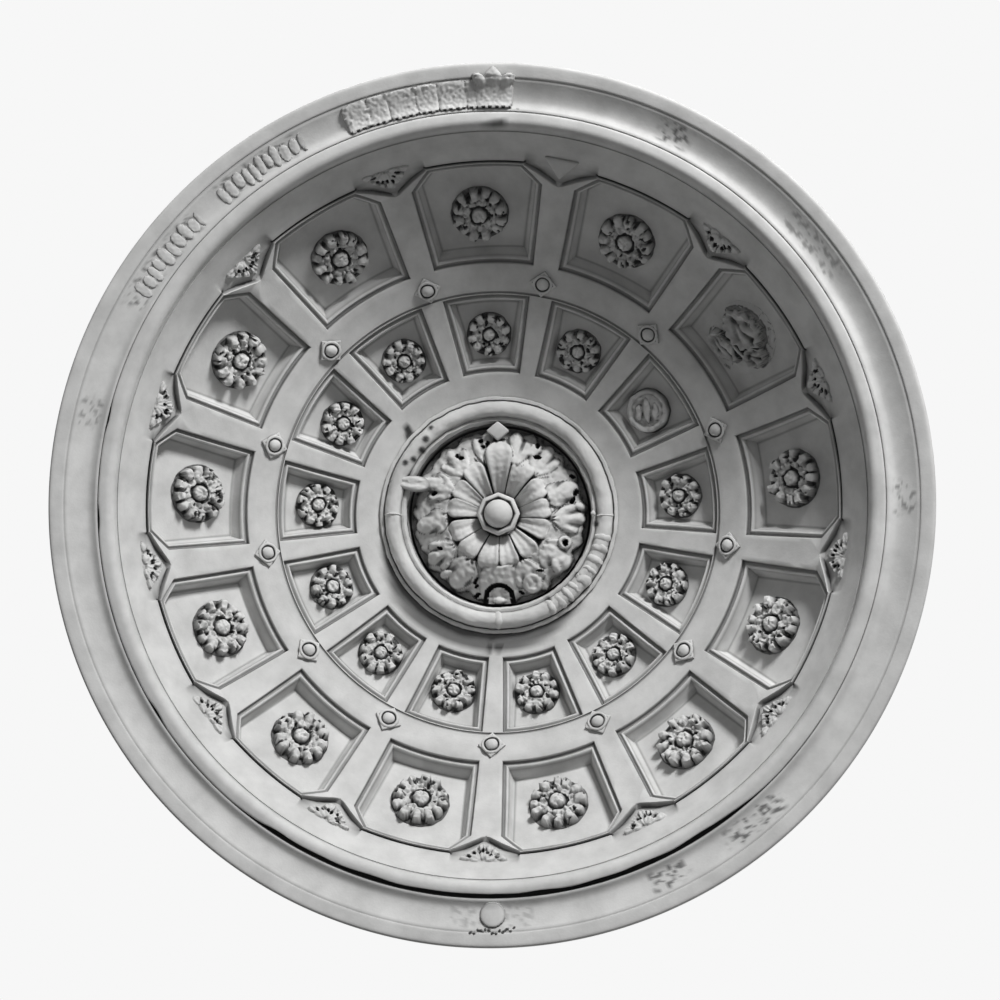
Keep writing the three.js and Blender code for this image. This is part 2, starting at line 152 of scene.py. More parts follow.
def arc(r, z, radius, start, end, steps):
    angles = [math.radians(mix(start, end, i / steps)) for i in range(steps + 1)]
    return [(r + radius * math.cos(a), z + radius * math.sin(a)) for a in angles]


# Settings a user would change

class DomeSizes(bpy.types.PropertyGroup):
    """Sizes of the dome"""

    bowl_radius: bpy.props.FloatProperty(
        name="Bowl Radius", description="Radius of the sphere that the rib faces lie on",
        default=1.016, min=0.9, unit="LENGTH")
    rib_half_angle: bpy.props.FloatProperty(
        name="Rib Half Angle", description="Half the width of a rib, seen from the dome's axis",
        default=math.radians(2.6), min=math.radians(1), subtype="ANGLE")
    riser: bpy.props.FloatProperty(
        name="Riser", description="Height of the first step into a coffer", default=0.010, unit="LENGTH")
    ledge: bpy.props.FloatProperty(
        name="Ledge", description="Width of the flat below the first step", default=0.008, unit="LENGTH")
    floor_depth: bpy.props.FloatProperty(
        name="Coffer Depth", description="Depth of a coffer's floor below the ribs", default=0.033, unit="LENGTH")
    floor_inset: bpy.props.FloatProperty(
        name="Floor Inset", description="Distance of a coffer's floor from its edge", default=0.026, unit="LENGTH")
    outer_rosette: bpy.props.FloatProperty(
        name="Outer Flower Radius", description="Radius of the flowers in the outer coffers",
        default=0.063, unit="LENGTH")
    inner_rosette: bpy.props.FloatProperty(
        name="Inner Flower Radius", description="Radius of the flowers in the inner coffers",
        default=0.049, unit="LENGTH")
    outer_petals: bpy.props.IntProperty(
        name="Outer Flower Petals", description="Petals of a flower in the outer coffers", default=12, min=5)
    inner_petals: bpy.props.IntProperty(
        name="Inner Flower Petals", description="Petals of a flower in the inner coffers", default=10, min=5)
    crown_petals: bpy.props.IntProperty(
        name="Crown Petals", description="Petals of the flower at the crown", default=13, min=6)
    crossing_radius: bpy.props.FloatProperty(
        name="Crossing Radius", description="Radius of the circle of rib crossings", default=0.498, unit="LENGTH")


class DomeFinish(bpy.types.PropertyGroup):
    """Colours of the dome and its studio"""

    plaster: bpy.props.FloatVectorProperty(
        name="Plaster", description="Clean plaster", subtype="COLOR", size=3, default=linear("D9D9D8"))
    dust: bpy.props.FloatVectorProperty(
        name="Dust", description="Plaster greyed by dust", subtype="COLOR", size=3, default=linear("C4C4C3"))
    # Dark colour for dirt, and for painted shade in joints, hollows and corners
    dirt_and_shade: bpy.props.FloatVectorProperty(
        name="Soot", description="Dirt in the joints and hollows", subtype="COLOR", size=3, default=linear("363636"))
    floor: bpy.props.FloatVectorProperty(
        name="Floor", description="Studio floor", subtype="COLOR", size=3, default=linear("F0F0F0"))
    backdrop: bpy.props.FloatVectorProperty(
        name="Backdrop", description="Plain backdrop", subtype="COLOR", size=3, default=linear("F7F7F7"))


def sizes():
    return bpy.context.scene.dome_sizes


def finish():
    return bpy.context.scene.dome_finish


# The bowl's own shape

def tilt_at(r):
    return math.degrees(math.asin(r / sizes().bowl_radius))


def field_tilt():
    return tilt_at(OUTER_ROW["to"])


def field_edge_z():
    drop = math.cos(math.radians(field_tilt())) - math.cos(math.radians(FRIEZE_END_TILT))
    return FRIEZE_END_Z + FRIEZE_CURVE * drop


def bowl_centre_z():
    return field_edge_z() - sizes().bowl_radius * math.cos(math.radians(field_tilt()))


def bowl_section(tilt, depth):
    """Radius and height of a point of the ribs' sphere, or that far behind it."""
    reach = sizes().bowl_radius + depth
    t = math.radians(tilt)
    return reach * math.sin(t), bowl_centre_z() + reach * math.cos(t)


def frieze_section(tilt, depth):
    t, edge = math.radians(tilt), math.radians(field_tilt())
    r = OUTER_ROW["to"] + FRIEZE_CURVE * (math.sin(t) - math.sin(edge))
    z = field_edge_z() - FRIEZE_CURVE * (math.cos(edge) - math.cos(t))
    return r + depth * math.sin(t), z + depth * math.cos(t)


def bowl_direction(tilt, azimuth):
    t = math.radians(tilt)
    return polar(math.sin(t), azimuth_with_drift(azimuth), math.cos(t))


def bowl_point(direction, distance):
    return direction * distance + Vector((0, 0, bowl_centre_z()))


def facing_room(tilt, azimuth, distance):
    """Matrix that sets a piece modelled on XY, facing +Z and pointing up +Y, on the bowl."""
    out = bowl_direction(tilt, azimuth)
    up = bowl_direction(tilt - 90, azimuth)
    side = up.cross(-out)
    turn = Matrix((side, up, -out)).transposed().to_4x4()
    return Matrix.Translation(bowl_point(out, distance)) @ turn


def middle_tilt(row):
    return (tilt_at(row["from"]) + tilt_at(row["to"])) / 2


# Working on meshes

def deselect():
    if bpy.context.mode != "OBJECT":
        bpy.ops.object.mode_set(mode="OBJECT")
    bpy.ops.object.select_all(action="DESELECT")


def take(obj):
    """Makes one object the only selected and active one."""
    deselect()
    obj.select_set(True)
    bpy.context.view_layer.objects.active = obj
    return obj


def edit(obj):
    take(obj)
    bpy.ops.object.mode_set(mode="EDIT")
    bpy.ops.mesh.select_mode(type="VERT")
    bpy.ops.mesh.select_all(action="SELECT")


def leave_edit():
    bpy.ops.object.mode_set(mode="OBJECT")


def mesh_object(name, points, faces=(), edges=()):
    mesh = bpy.data.meshes.new(name)
    mesh.from_pydata([tuple(p) for p in points], list(edges), [tuple(f) for f in faces])
    obj = bpy.data.objects.new(name, mesh)
    bpy.context.scene.collection.objects.link(obj)
    return take(obj)


def apply_modifier(obj, kind, **settings):
    take(obj)
    modifier = obj.modifiers.new(kind.title(), kind)
    for name, value in settings.items():
        setattr(modifier, name, value)
    bpy.ops.object.modifier_apply(modifier=modifier.name)


def shape(obj, move):
    """Moves every point of a mesh by a function of its place."""
    for vertex in obj.data.vertices:
        vertex.co = move(vertex.co.copy())
    obj.data.update()


def shape_selected(move):
    """Moves the selected points in edit mode by a function of their place."""
    work = bmesh.from_edit_mesh(bpy.context.object.data)
    for vertex in work.verts:
        if vertex.select:
            vertex.co = move(vertex.co.copy())
    bmesh.update_edit_mesh(bpy.context.object.data)


def copy_of(obj, name, matrix=None):
    """A copy with its own mesh, placed in that mesh."""
    twin = bpy.data.objects.new(name, obj.data.copy())
    bpy.context.scene.collection.objects.link(twin)
    if matrix is not None:
        twin.data.transform(matrix)
    return twin


def join(name, objs):
    deselect()
    for obj in objs:
        obj.select_set(True)
    bpy.context.view_layer.objects.active = objs[0]
    bpy.ops.object.join()
    joined = bpy.context.view_layer.objects.active
    joined.name = joined.data.name = name
    return joined


def discard(*objs):
    for obj in objs:
        bpy.data.objects.remove(obj)


def close_up(obj, merge=MERGE):
    """Merges doubled points and turns all faces outwards."""
    edit(obj)
    bpy.ops.mesh.remove_doubles(threshold=merge)
    bpy.ops.mesh.normals_make_consistent(inside=False)
    leave_edit()


def weather(obj, depth, grain, seed):
    """Uneven hand work and wear: points move a little, by noise of the given grain."""
    noise.seed_set(WEAR_SEED)
    shift = Vector((seed * 1.7, seed * 2.3, seed * 3.1))
    shape(obj, lambda co: co + noise.noise_vector(co / grain + shift) * depth)


def settle(obj, nodes, smooth_angle=38):
    """Finishes a piece and hangs it in the frame."""
    take(obj)
    bpy.ops.object.shade_smooth_by_angle(angle=math.radians(smooth_angle))
    obj.data.materials.clear()
    obj.data.materials.append(plaster_material())
    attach(obj, "root")
    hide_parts(*nodes)
    return obj


class Weld:
    """Faces from loose corners, joined where corners meet; each point keeps its darkness of dirt and painted shade."""

    def __init__(self):
        self.order, self.points, self.dirt_and_shade, self.faces = {}, [], [], []

    def corner(self, point, dirt_and_shade):
        key = tuple(round(c * 2e5) for c in point)
        if key not in self.order:
            self.order[key] = len(self.points)
            self.points.append(point)
            self.dirt_and_shade.append(dirt_and_shade)
        index = self.order[key]
        self.dirt_and_shade[index] = max(self.dirt_and_shade[index], dirt_and_shade)
        return index

    def face(self, corners):
        ring = list(dict.fromkeys(self.corner(point, dirt_and_shade) for point, dirt_and_shade in corners))
        if len(ring) > 2:
            self.faces.append(ring)

    def band(self, first, second, columns):
        for c in columns:
            self.face((first[c], second[c], second[c + 1], first[c + 1]))

    def loops(self, loops):
        """Walls from loop to loop, closed at the last one."""
        for outer, inner in zip(loops, loops[1:]):
            for i in range(len(outer)):
                j = (i + 1) % len(outer)
                self.face((outer[i], outer[j], inner[j], inner[i]))
        self.face(loops[-1])

    def object(self, name):
        obj = mesh_object(name, self.points, self.faces)
        set_dirt_and_shade(obj, self.dirt_and_shade)
        return obj


# Stores each point's darkness of dirt and painted shade
def set_dirt_and_shade(obj, values):
    layer = obj.data.attributes.new("dirt_and_shade", "FLOAT", "POINT")
    layer.data.foreach_set("value", [min(1.0, v) for v in values])


# Materials

def add_node(tree, kind, settings=None, **inputs):
    """Adds a node with its settings; an input is a value, or a socket that is linked."""
    node = tree.nodes.new(kind)
    for name, value in (settings or {}).items():
        setattr(node, name, value)
    for name, value in inputs.items():
        socket = node.inputs[int(name[1:])] if name[0] == "i" and name[1:].isdigit() else node.inputs[name]
        if isinstance(value, bpy.types.NodeSocket):
            tree.links.new(value, socket)
        else:
            socket.default_value = value
    return node


def plaster_material():
    """Gypsum plaster, cast and limewashed: matt, softly mottled, with dust, and darkened in its hollows by dirt and
    painted shade.
    """
    name = "cast_plaster"
    if name in bpy.data.materials:
        return bpy.data.materials[name]
    material = bpy.data.materials.new(name)
    material.use_nodes = True
    tree = material.node_tree
    tree.nodes.clear()
    place = add_node(tree, "ShaderNodeTexCoord").outputs["Object"]
    # Clouds of dust about 70 mm across
    clouds = add_node(tree, "ShaderNodeTexNoise", Vector=place, Scale=1 / 0.07, Detail=4.0, Roughness=0.6)
    veil = add_node(tree, "ShaderNodeMapRange", Value=clouds.outputs["Fac"], i1=0.35, i2=0.7)
    clean = add_node(tree, "ShaderNodeMix", {"data_type": "RGBA"}, i0=veil.outputs["Result"],
                     i6=(*finish().plaster, 1), i7=(*finish().dust, 1))
    # Painted occlusion shade: the colour darkens within 20 mm of an inner corner, and where the joints and grooves
    # carry dirt and painted shade
    occlusion_shade = add_node(tree, "ShaderNodeAmbientOcclusion", {"samples": 6}, Distance=0.020)
    dark = add_node(tree, "ShaderNodeMapRange", Value=occlusion_shade.outputs["AO"], i1=0.66, i2=0.12, i3=0.0, i4=0.75)
    carried = add_node(tree, "ShaderNodeAttribute", {"attribute_name": "dirt_and_shade"})
    both = add_node(tree, "ShaderNodeMath", {"operation": "ADD", "use_clamp": True},
                    i0=dark.outputs["Result"], i1=carried.outputs["Fac"])
    colour = add_node(tree, "ShaderNodeMix", {"data_type": "RGBA"}, i0=both.outputs["Value"],
                      i6=clean.outputs[2], i7=(*finish().dirt_and_shade, 1))
    # Trowel and brush grain, about 5 mm so that it shows at this distance
    grain = add_node(tree, "ShaderNodeTexNoise", Vector=place, Scale=1 / 0.005, Detail=3.0, Roughness=0.55)
    bump = add_node(tree, "ShaderNodeBump", Height=grain.outputs["Fac"], Strength=0.25, Distance=0.0012)
    shader = add_node(tree, "ShaderNodeBsdfPrincipled", Roughness=0.85, IOR=1.5, Normal=bump.outputs["Normal"],
                      **{"Base Color": colour.outputs[2], "Specular IOR Level": 0.25})
    add_node(tree, "ShaderNodeOutputMaterial", Surface=shader.outputs["BSDF"])
    return material


def floor_material():
    """Painted board: plain, pale and matt, evenly lit as a studio sweep is."""
    material = bpy.data.materials.new("painted_floor")
    material.use_nodes = True
    shader = material.node_tree.nodes["Principled BSDF"]
    inputs = {"Base Color": (*finish().floor, 1), "Roughness": 0.9,
              "Emission Color": (*finish().backdrop, 1), "Emission Strength": 0.8}
    for name, value in inputs.items():
        shader.inputs[name].default_value = value
    return material


# Bowl

def coffer_stations(row, inset):
    """Tilt and half angle of a coffer's side, from head to foot."""
    size = sizes()
    step = math.degrees(inset / size.bowl_radius)
    head, foot = tilt_at(row["from"]) + step, tilt_at(row["to"]) - step
    rib = math.degrees(size.rib_half_angle)

    def half(r):
        return SECTOR / 2 - rib - math.degrees(inset / r)

    corner = row["corner"] - CORNER_SHRINK * inset if row["corner"] else 0.0
    knee = foot - math.degrees(corner / size.bowl_radius)
    side = [i / (SIDE_STATIONS - 1) for i in range(SIDE_STATIONS)]
    stations = [(mix(head, knee, s), mix(half(row["from"]), half(row["to"]), s)) for s in side]
    if row["corner"]:
        end = half(row["to"]) - math.degrees(corner / row["to"])
        stations += [(mix(knee, foot, s), mix(half(row["to"]), end, s)) for s in CORNER_SHARES]
    return stations


def coffer_loop(row, azimuth, inset, depth, flat, dirt_and_shade=0.0):
    """Outline of a coffer at an inset and a depth, from sphere (flat 0) to plane (flat 1)."""
    stations = coffer_stations(row, inset)
    across = [i / COFFER_COLUMNS for i in range(1, COFFER_COLUMNS)]
    (head, head_half), (foot, foot_half) = stations[0], stations[-1]
    turns = [(tilt, -half) for tilt, half in stations]
    turns += [(foot, mix(-foot_half, foot_half, s)) for s in across]
    turns += [(tilt, half) for tilt, half in reversed(stations)]
    turns += [(head, mix(head_half, -head_half, s)) for s in across]
    axis = bowl_direction(middle_tilt(row), azimuth)
    reach = sizes().bowl_radius + depth
    loop = []
    for tilt, turn in turns:
        ray = bowl_direction(tilt, azimuth + turn)
        loop.append((bowl_point(ray, mix(reach, reach / ray.dot(axis), flat)), dirt_and_shade))
    return loop


def coffer_hollow(row, azimuth):
    """Loops of a coffer's moulding, from the rib's edge to the floor."""
    size = sizes()
    loops = [coffer_loop(row, azimuth, inset, share * size.riser, 0, dirt_and_shade) for inset, share, dirt_and_shade in RISER_STEPS]
    start = size.ledge
    run, fall = size.floor_inset - start, size.floor_depth - size.riser
    for across, down, dirt_and_shade in SLOPE_STEPS:
        depth = size.riser + down * fall
        loops.append(coffer_loop(row, azimuth, start + across * run, depth, smooth(across), dirt_and_shade))
    loops.append(coffer_loop(row, azimuth, size.floor_inset + FLOOR_EASE, size.floor_depth, 1))
    return loops


def coffer_box(row, azimuth):
    """Loops of the box behind a coffer, on the dome's back."""
    return [coffer_loop(row, azimuth, i / 1000, d / 1000, flat) for i, d, flat in BOX_STEPS]


def sector_turns(edge, arm=None):
    """Turns of the columns across one sector: rib, coffer, rib. The arm is where the spandrel's groove runs."""
    gap = edge * 0.1
    if arm is None:
        arm = edge * 0.6
    else:
        gap = math.degrees(GROOVE / 2 / OUTER_ROW["to"])
    side = [0, arm / 3, arm * 2 / 3, max(arm - gap, arm * 0.8), arm, arm + gap, edge]
    half = SECTOR / 2 - edge
    coffer = [mix(-half, half, i / COFFER_COLUMNS) for i in range(1, COFFER_COLUMNS)]
    return [s - SECTOR / 2 for s in side] + coffer + [SECTOR / 2 - s for s in reversed(side)]


def even_turns():
    return [mix(-SECTOR / 2, SECTOR / 2, i / COLUMNS) for i in range(COLUMNS + 1)]


def blend_turns(first, second, share):
    return [mix(a, b, share) for a, b in zip(first, second)]


def both_sides(half_list, middle):
    """Values for all columns, from those of a rib half and one for the coffer."""
    return list(half_list) + [middle] * (COFFER_COLUMNS - 1) + list(reversed(half_list))


def plain_line(section, turns, dirt_and_shade=0.0):
    return {"columns": [(section[0], section[1], turn, dirt_and_shade) for turn in turns], "open": False}


def relief_line(section_at, turns, depths, dirt_and_shade_values):
    columns = [(*section_at(depth), turn, dirt_and_shade) for turn, depth, dirt_and_shade in zip(turns, depths, dirt_and_shade_values)]
    return {"columns": columns, "open": False}


def rib_half_at(half):
    return SECTOR / 2 - half


def row_lines(row, inset, depth):
    lines = []
    for tilt, half in coffer_stations(row, inset):
        turns = sector_turns(rib_half_at(half))
        lines.append(plain_line(bowl_section(tilt, depth), turns))
        lines[-1]["open"] = True
    lines[-1]["open"] = False
    return lines


# Sunk corner below a rib, and the groove below a coffer's foot as distance outwards, depth and painted shade
SPANDREL_DEPTH = 0.012
SPANDREL_FOOT = 0.040
SPANDREL_FOOT_DEPTH = SPANDREL_DEPTH * 0.6
ARM_INSET = 0.0045
FILLET = 0.0018
FRIEZE_SETBACK = 0.0028
FOOT_GROOVE = ((0.0010, 0.0, 0.05), (0.0024, 0.0085, 1.0), (0.0048, 0.0085, 0.9), (0.0066, FRIEZE_SETBACK, 0.15))


def arm_at_foot(edge):
    return edge - math.degrees(ARM_INSET / OUTER_ROW["to"])


def outer_row_lines():
    """Outer row; below each rib the face is sunk to a point, with a raised fillet along the edge."""
    lines = []
    stations = coffer_stations(OUTER_ROW, 0)
    knee = SIDE_STATIONS - 1
    for i, (tilt, half) in enumerate(stations):
        edge = rib_half_at(half)
        if i < knee:
            line = plain_line(bowl_section(tilt, 0), sector_turns(edge))
        else:
            share = 0 if i == knee else CORNER_SHARES[i - knee - 1]
            full = min(1.0, share / 0.14)
            sunk = SPANDREL_DEPTH * full * (1 - 0.4 * smooth((share - 0.6) / 0.4))
            depths = both_sides([sunk, sunk, sunk, sunk, sunk * 0.2, -FILLET * full, 0], 0)
            # Painted shade on the sunk corner's floor, darkest in the groove along each arm
            dirt_and_shade_values = both_sides([0.1 * full, 0.1 * full, 0.2 * full, 0.7 * full, 0.6 * full, 0, 0], 0)
            arm = max(0.08, share * arm_at_foot(rib_half_at(stations[-1][1])))
            line = relief_line(lambda d, t=tilt: bowl_section(t, d), sector_turns(edge, arm), depths, dirt_and_shade_values)
        line["open"] = i + 1 < len(stations)
        lines.append(line)
    return lines


def frieze_lines():
    """Groove below the coffers' feet, then the smooth frieze down to the lip's quirk."""
    edge = rib_half_at(coffer_stations(OUTER_ROW, 0)[-1][1])
    foot = sector_turns(edge, arm_at_foot(edge))
    lines = []
    for run, depth, dirt_and_shade in FOOT_GROOVE:
        tilt = field_tilt() + math.degrees(run / FRIEZE_CURVE)
        inside = SPANDREL_FOOT_DEPTH
        depths = both_sides([inside] * 4 + [max(depth, inside), depth, depth], depth)
        # Painted shade in the foot groove, and on the sunk corners' ends
        dirt_and_shade_values = both_sides([0.1, 0.1, 0.2, 0.6, max(dirt_and_shade, 0.6), dirt_and_shade, dirt_and_shade], dirt_and_shade)
        lines.append(relief_line(lambda d, t=tilt: frieze_section(t, d), foot, depths, dirt_and_shade_values))
    length = math.radians(FRIEZE_END_TILT - field_tilt()) * FRIEZE_CURVE
    start = FOOT_GROOVE[-1][0]
    for i in range(1, FRIEZE_STEPS + 1):
        share = i / FRIEZE_STEPS
        run = mix(start, length, share)
        tilt = field_tilt() + math.degrees(run / FRIEZE_CURVE)
        depth = FRIEZE_SETBACK * (1 - smooth(share * 1.6))
        shut = smooth((run - start) / (SPANDREL_FOOT - start))
        inside = mix(SPANDREL_FOOT_DEPTH, depth, shut)
        turns = blend_turns(foot, even_turns(), smooth(share))
        depths = both_sides([inside] * 4 + [mix(inside, depth, 0.5)] + [depth] * 2, depth)
        dirt_and_shade_values = both_sides([0.1 * (1 - shut)] * 3 + [0.4 * (1 - shut)] * 2 + [0, 0], 0)
        lines.append(relief_line(lambda d, t=tilt: frieze_section(t, d), turns, depths, dirt_and_shade_values))
    return lines


# Quirk above the lip as radius, height and painted shade, the lip's roll, and its edge at the joint
LIP_STEPS = ((0.7668, -0.0112, 0.2), (0.7684, -0.0150, 0.1), (0.7690, -0.0180, 0.0))
LIP_ROLL = {"r": 0.7870, "z": -0.0200, "wide": 0.0180, "drop": 0.0185}
JOINT_RADIUS = 0.8016
LIP_EDGE = ((0.7910, -0.0386), (0.7960, -0.0385), (0.7990, -0.0381), (0.8006, -0.0370), (JOINT_RADIUS, -0.0350),
            (JOINT_RADIUS, -0.0300))

# Joint between lip and cornice: azimuths where it is open and where it is torn, half width, fade and gaps
JOINT_OPEN_AT = 178
JOINT_TORN_AT = 250
JOINT_HALF = 30
JOINT_FADE = 14
OPEN_GAP = 0.0080
TORN_GAP = 0.0055
JOINT_SLACK = 0.0002


def lip_roll():
    """Rounded lip, flat below and sharp-edged towards the joint."""
    angles = [math.radians(mix(185, 270, i / 9)) for i in range(10)]
    roll = [(LIP_ROLL["r"] + LIP_ROLL["wide"] * math.cos(a), LIP_ROLL["z"] + LIP_ROLL["drop"] * math.sin(a))
            for a in angles]
    return roll + list(LIP_EDGE)


def joint_gap(azimuth):
    """The joint is closed on the lit side, open opposite, and torn in places beyond."""
    torn = noise.noise(Vector((azimuth / 5, 0, 0)))
    wide, beyond = (1 - smooth((apart(azimuth, middle) - JOINT_HALF) / JOINT_FADE)
                    for middle in (JOINT_OPEN_AT, JOINT_TORN_AT))
    return OPEN_GAP * wide * (1 + 0.4 * torn) + TORN_GAP * beyond * max(0.0, torn)


def open_joint(point):
    """Draws the lip back from the cornice where the joint is open."""
    r, azimuth = plan_of(point)
    if not (LIP_ROLL["r"] < r < JOINT_RADIUS + JOINT_SLACK and -0.04 < point.z < -FLANGE["thick"] + JOINT_SLACK):
        return point
    share = (r - LIP_ROLL["r"]) / (JOINT_RADIUS - LIP_ROLL["r"])
    back = joint_gap(azimuth) * share
    return Vector((point.x * (r - back) / r, point.y * (r - back) / r, point.z))


def mouth_lines():
    """Quirk and roll of the lip, the joint's inner wall, the flange and the way up the back."""
    even = even_turns()
    rim, inner, under = FLANGE["r"], FLANGE["inner"], -FLANGE["thick"]
    # Painted shade on the joint's inner wall and under the flange
    flange = [(JOINT_RADIUS, under - 0.002, 0.9), (JOINT_RADIUS, under, 0.9), (rim, under, 0.3), (rim, -0.002, 0.0),
              (rim - 0.002, 0.0, 0.0), (rim - 0.03, 0.0, 0.0), (inner + 0.016, 0.0005, 0.0),
              (inner + 0.006, 0.003, 0.0), (inner - 0.002, 0.010, 0.0)]
    sections = [*LIP_STEPS, *[(r, z, 0.0) for r, z in lip_roll()], *flange]
    lines = [plain_line((r, z), even, dirt_and_shade) for r, z, dirt_and_shade in sections]
    edge = rib_half_at(coffer_stations(OUTER_ROW, BOX_STEPS[0][0] / 1000)[-1][1])
    for i in range(1, 5):
        tilt = mix(58, 47, i / 4)
        turns = blend_turns(even, sector_turns(edge), i / 4)
        lines.append(plain_line(frieze_section(tilt, WALL), turns))
    return lines


def crown_lines():
    """Hollow of the eye, its floor and wall, and the seat of the ring."""
    even = even_turns()
    r, floor, draft = EYE["r"], EYE["floor"], EYE["draft"]
    # Painted shade on the eye's floor and at the foot of its wall
    sections = [((0.0, floor), 0.85), ((0.09, floor), 0.85), ((0.150, floor), 0.8), ((r - draft - 0.006, floor), 0.4),
                ((r - draft - 0.001, floor - 0.002), 0.45), ((r - draft, floor - 0.008), 0.25)]
    edge = bowl_section(tilt_at(r), 0)
    sections += [((r - 0.001, mix(floor, edge[1], 0.7)), 0.15), (edge, 0.3)]
    lines = [plain_line(section, even, dirt_and_shade) for section, dirt_and_shade in sections]
    inner_edge = rib_half_at(coffer_stations(INNER_ROW, 0)[0][1])
    for i in range(7):
        radius = mix(0.225, INNER_ROW["from"] - 0.006, i / 6)
        turns = blend_turns(even, sector_turns(inner_edge), i / 6)
        lines.append(plain_line(bowl_section(tilt_at(radius), 0), turns))
    return lines


def back_lines():
    """Outer side of the bowl, from its foot up to the boss over the crown."""
    flare = BOX_STEPS[0][0] / 1000
    lines = list(reversed(row_lines(OUTER_ROW, flare, WALL)))
    upper = list(reversed(row_lines(INNER_ROW, flare, WALL)))
    for group in (lines, upper):
        for line in group[:-1]:
            line["open"] = True
        group[-1]["open"] = False
    lines += upper
    even = even_turns()
    boss_r, boss_top = EYE["r"] + EYE["wall"], EYE["floor"] + EYE["wall"]
    seat = bowl_section(tilt_at(SEAT_RADIUS), WALL)
    sections = [(SEAT_RADIUS + 0.022, bowl_section(tilt_at(SEAT_RADIUS + 0.018), WALL)[1]), seat,
                (boss_r + 0.014, mix(seat[1], boss_top, 0.5)), (boss_r + 0.004, boss_top - 0.008),
                (boss_r, boss_top - 0.002), (boss_r - 0.004, boss_top), (boss_r - 0.05, boss_top),
                (0.08, boss_top), (0.0, boss_top)]
    return lines + [plain_line(section, even) for section in sections]


# Quirk along the foot of the inner coffers, as distance outwards, depth and painted shade
QUIRK = ((0.0008, 0.0, 0.1), (0.0018, 0.0030, 0.55), (0.0044, 0.0030, 0.5), (0.0062, 0.0, 0.1))


def between_rows():
    """Quirk and plain band between the two rows of coffers."""
    edge = math.degrees(sizes().rib_half_angle)
    turns = sector_turns(edge)
    lines = [plain_line(bowl_section(tilt_at(INNER_ROW["to"] + out), depth), turns, dirt_and_shade) for out, depth, dirt_and_shade in QUIRK]
    for share in (0.25, 0.5, 0.75):
        tilt = tilt_at(mix(INNER_ROW["to"], OUTER_ROW["from"], share))
        lines.append(plain_line(bowl_section(tilt, 0), turns))
    return lines


# Painted shadow of the crown ring on the bowl: azimuth where it is broadest, radius elsewhere and there, fade and
# darkness
RING_SHADOW_AT = 196
RING_SHADOW_REACH = (0.250, 0.306)
RING_SHADOW_FADE = 0.020
RING_SHADOW_DARKNESS = 0.84
# Dirt spots as azimuth, radius and size
MARKS = ((-48, 0.262, 0.010), (-46.5, 0.272, 0.008), (180, 0.288, 0.011), (184, 0.292, 0.009), (0.2, 0.776, 0.008),
         (1.4, 0.779, 0.009))


def bowl_shadow_and_spots(point):
    """Painted shadow of the crown ring, on the side away from the key light, and a few dirt spots."""
    r, azimuth = plan_of(point)
    if abs(point.z - bowl_section(tilt_at(min(r, 0.9)), 0)[1]) > 0.012 and r < 0.7:
        return 0.0
    dirt = 0.0
    # The crown ring's painted shadow
    if r < 0.31:
        reach = mix(*RING_SHADOW_REACH, smooth((85 - apart(azimuth, RING_SHADOW_AT)) / 65))
        dirt = RING_SHADOW_DARKNESS * smooth((reach - r) / RING_SHADOW_FADE)
    if r < 0.79:
        for turn, radius, size in MARKS:
            dirt = max(dirt, smooth(1.6 - (point - polar(radius, turn, point.z)).length / size))
    return dirt


def dome_shell():
    """Bowl welded from its lines, sector by sector, with the coffers let in."""
    lines = crown_lines() + row_lines(INNER_ROW, 0, 0) + between_rows() + outer_row_lines()
    lines += frieze_lines() + mouth_lines() + back_lines()
    weld = Weld()
    ribs = list(range(6)) + list(range(COLUMNS - 6, COLUMNS))
    for k in range(SECTORS):
        azimuth = k * SECTOR
        placed = [[(polar(r, azimuth_with_drift(azimuth + turn), z), dirt_and_shade) for r, z, turn, dirt_and_shade in line["columns"]]
                  for line in lines]
        for i in range(len(lines) - 1):
            weld.band(placed[i], placed[i + 1], ribs if lines[i]["open"] else range(COLUMNS))
        for row in (INNER_ROW, OUTER_ROW):
            weld.loops(coffer_hollow(row, azimuth))
            weld.loops(coffer_box(row, azimuth))
    # The ring's painted shadow and the dirt spots join the shell's own dirt and painted shade
    weld.dirt_and_shade = [max(dirt_and_shade, bowl_shadow_and_spots(point)) for point, dirt_and_shade in zip(weld.points, weld.dirt_and_shade)]
    weld.points = [open_joint(point) for point in weld.points]
    shell = weld.object("dome_shell")
    edit(shell)
    bpy.ops.mesh.normals_make_consistent(inside=False)
    leave_edit()
    return shell


# Rounds turned from a section

def turned(name, section, steps):
    """Spins a closed section, given as radius and height, round the dome's axis."""
    count = len(section)
    ring = mesh_object(name, [(r, 0, z) for r, z in section], edges=[(i, (i + 1) % count) for i in range(count)])
    edit(ring)
    bpy.ops.mesh.spin(steps=steps, angle=2 * math.pi, center=(0, 0, 0), axis=(0, 0, 1), use_auto_merge=True)
    leave_edit()
    close_up(ring)
    return ring


# Carved relief

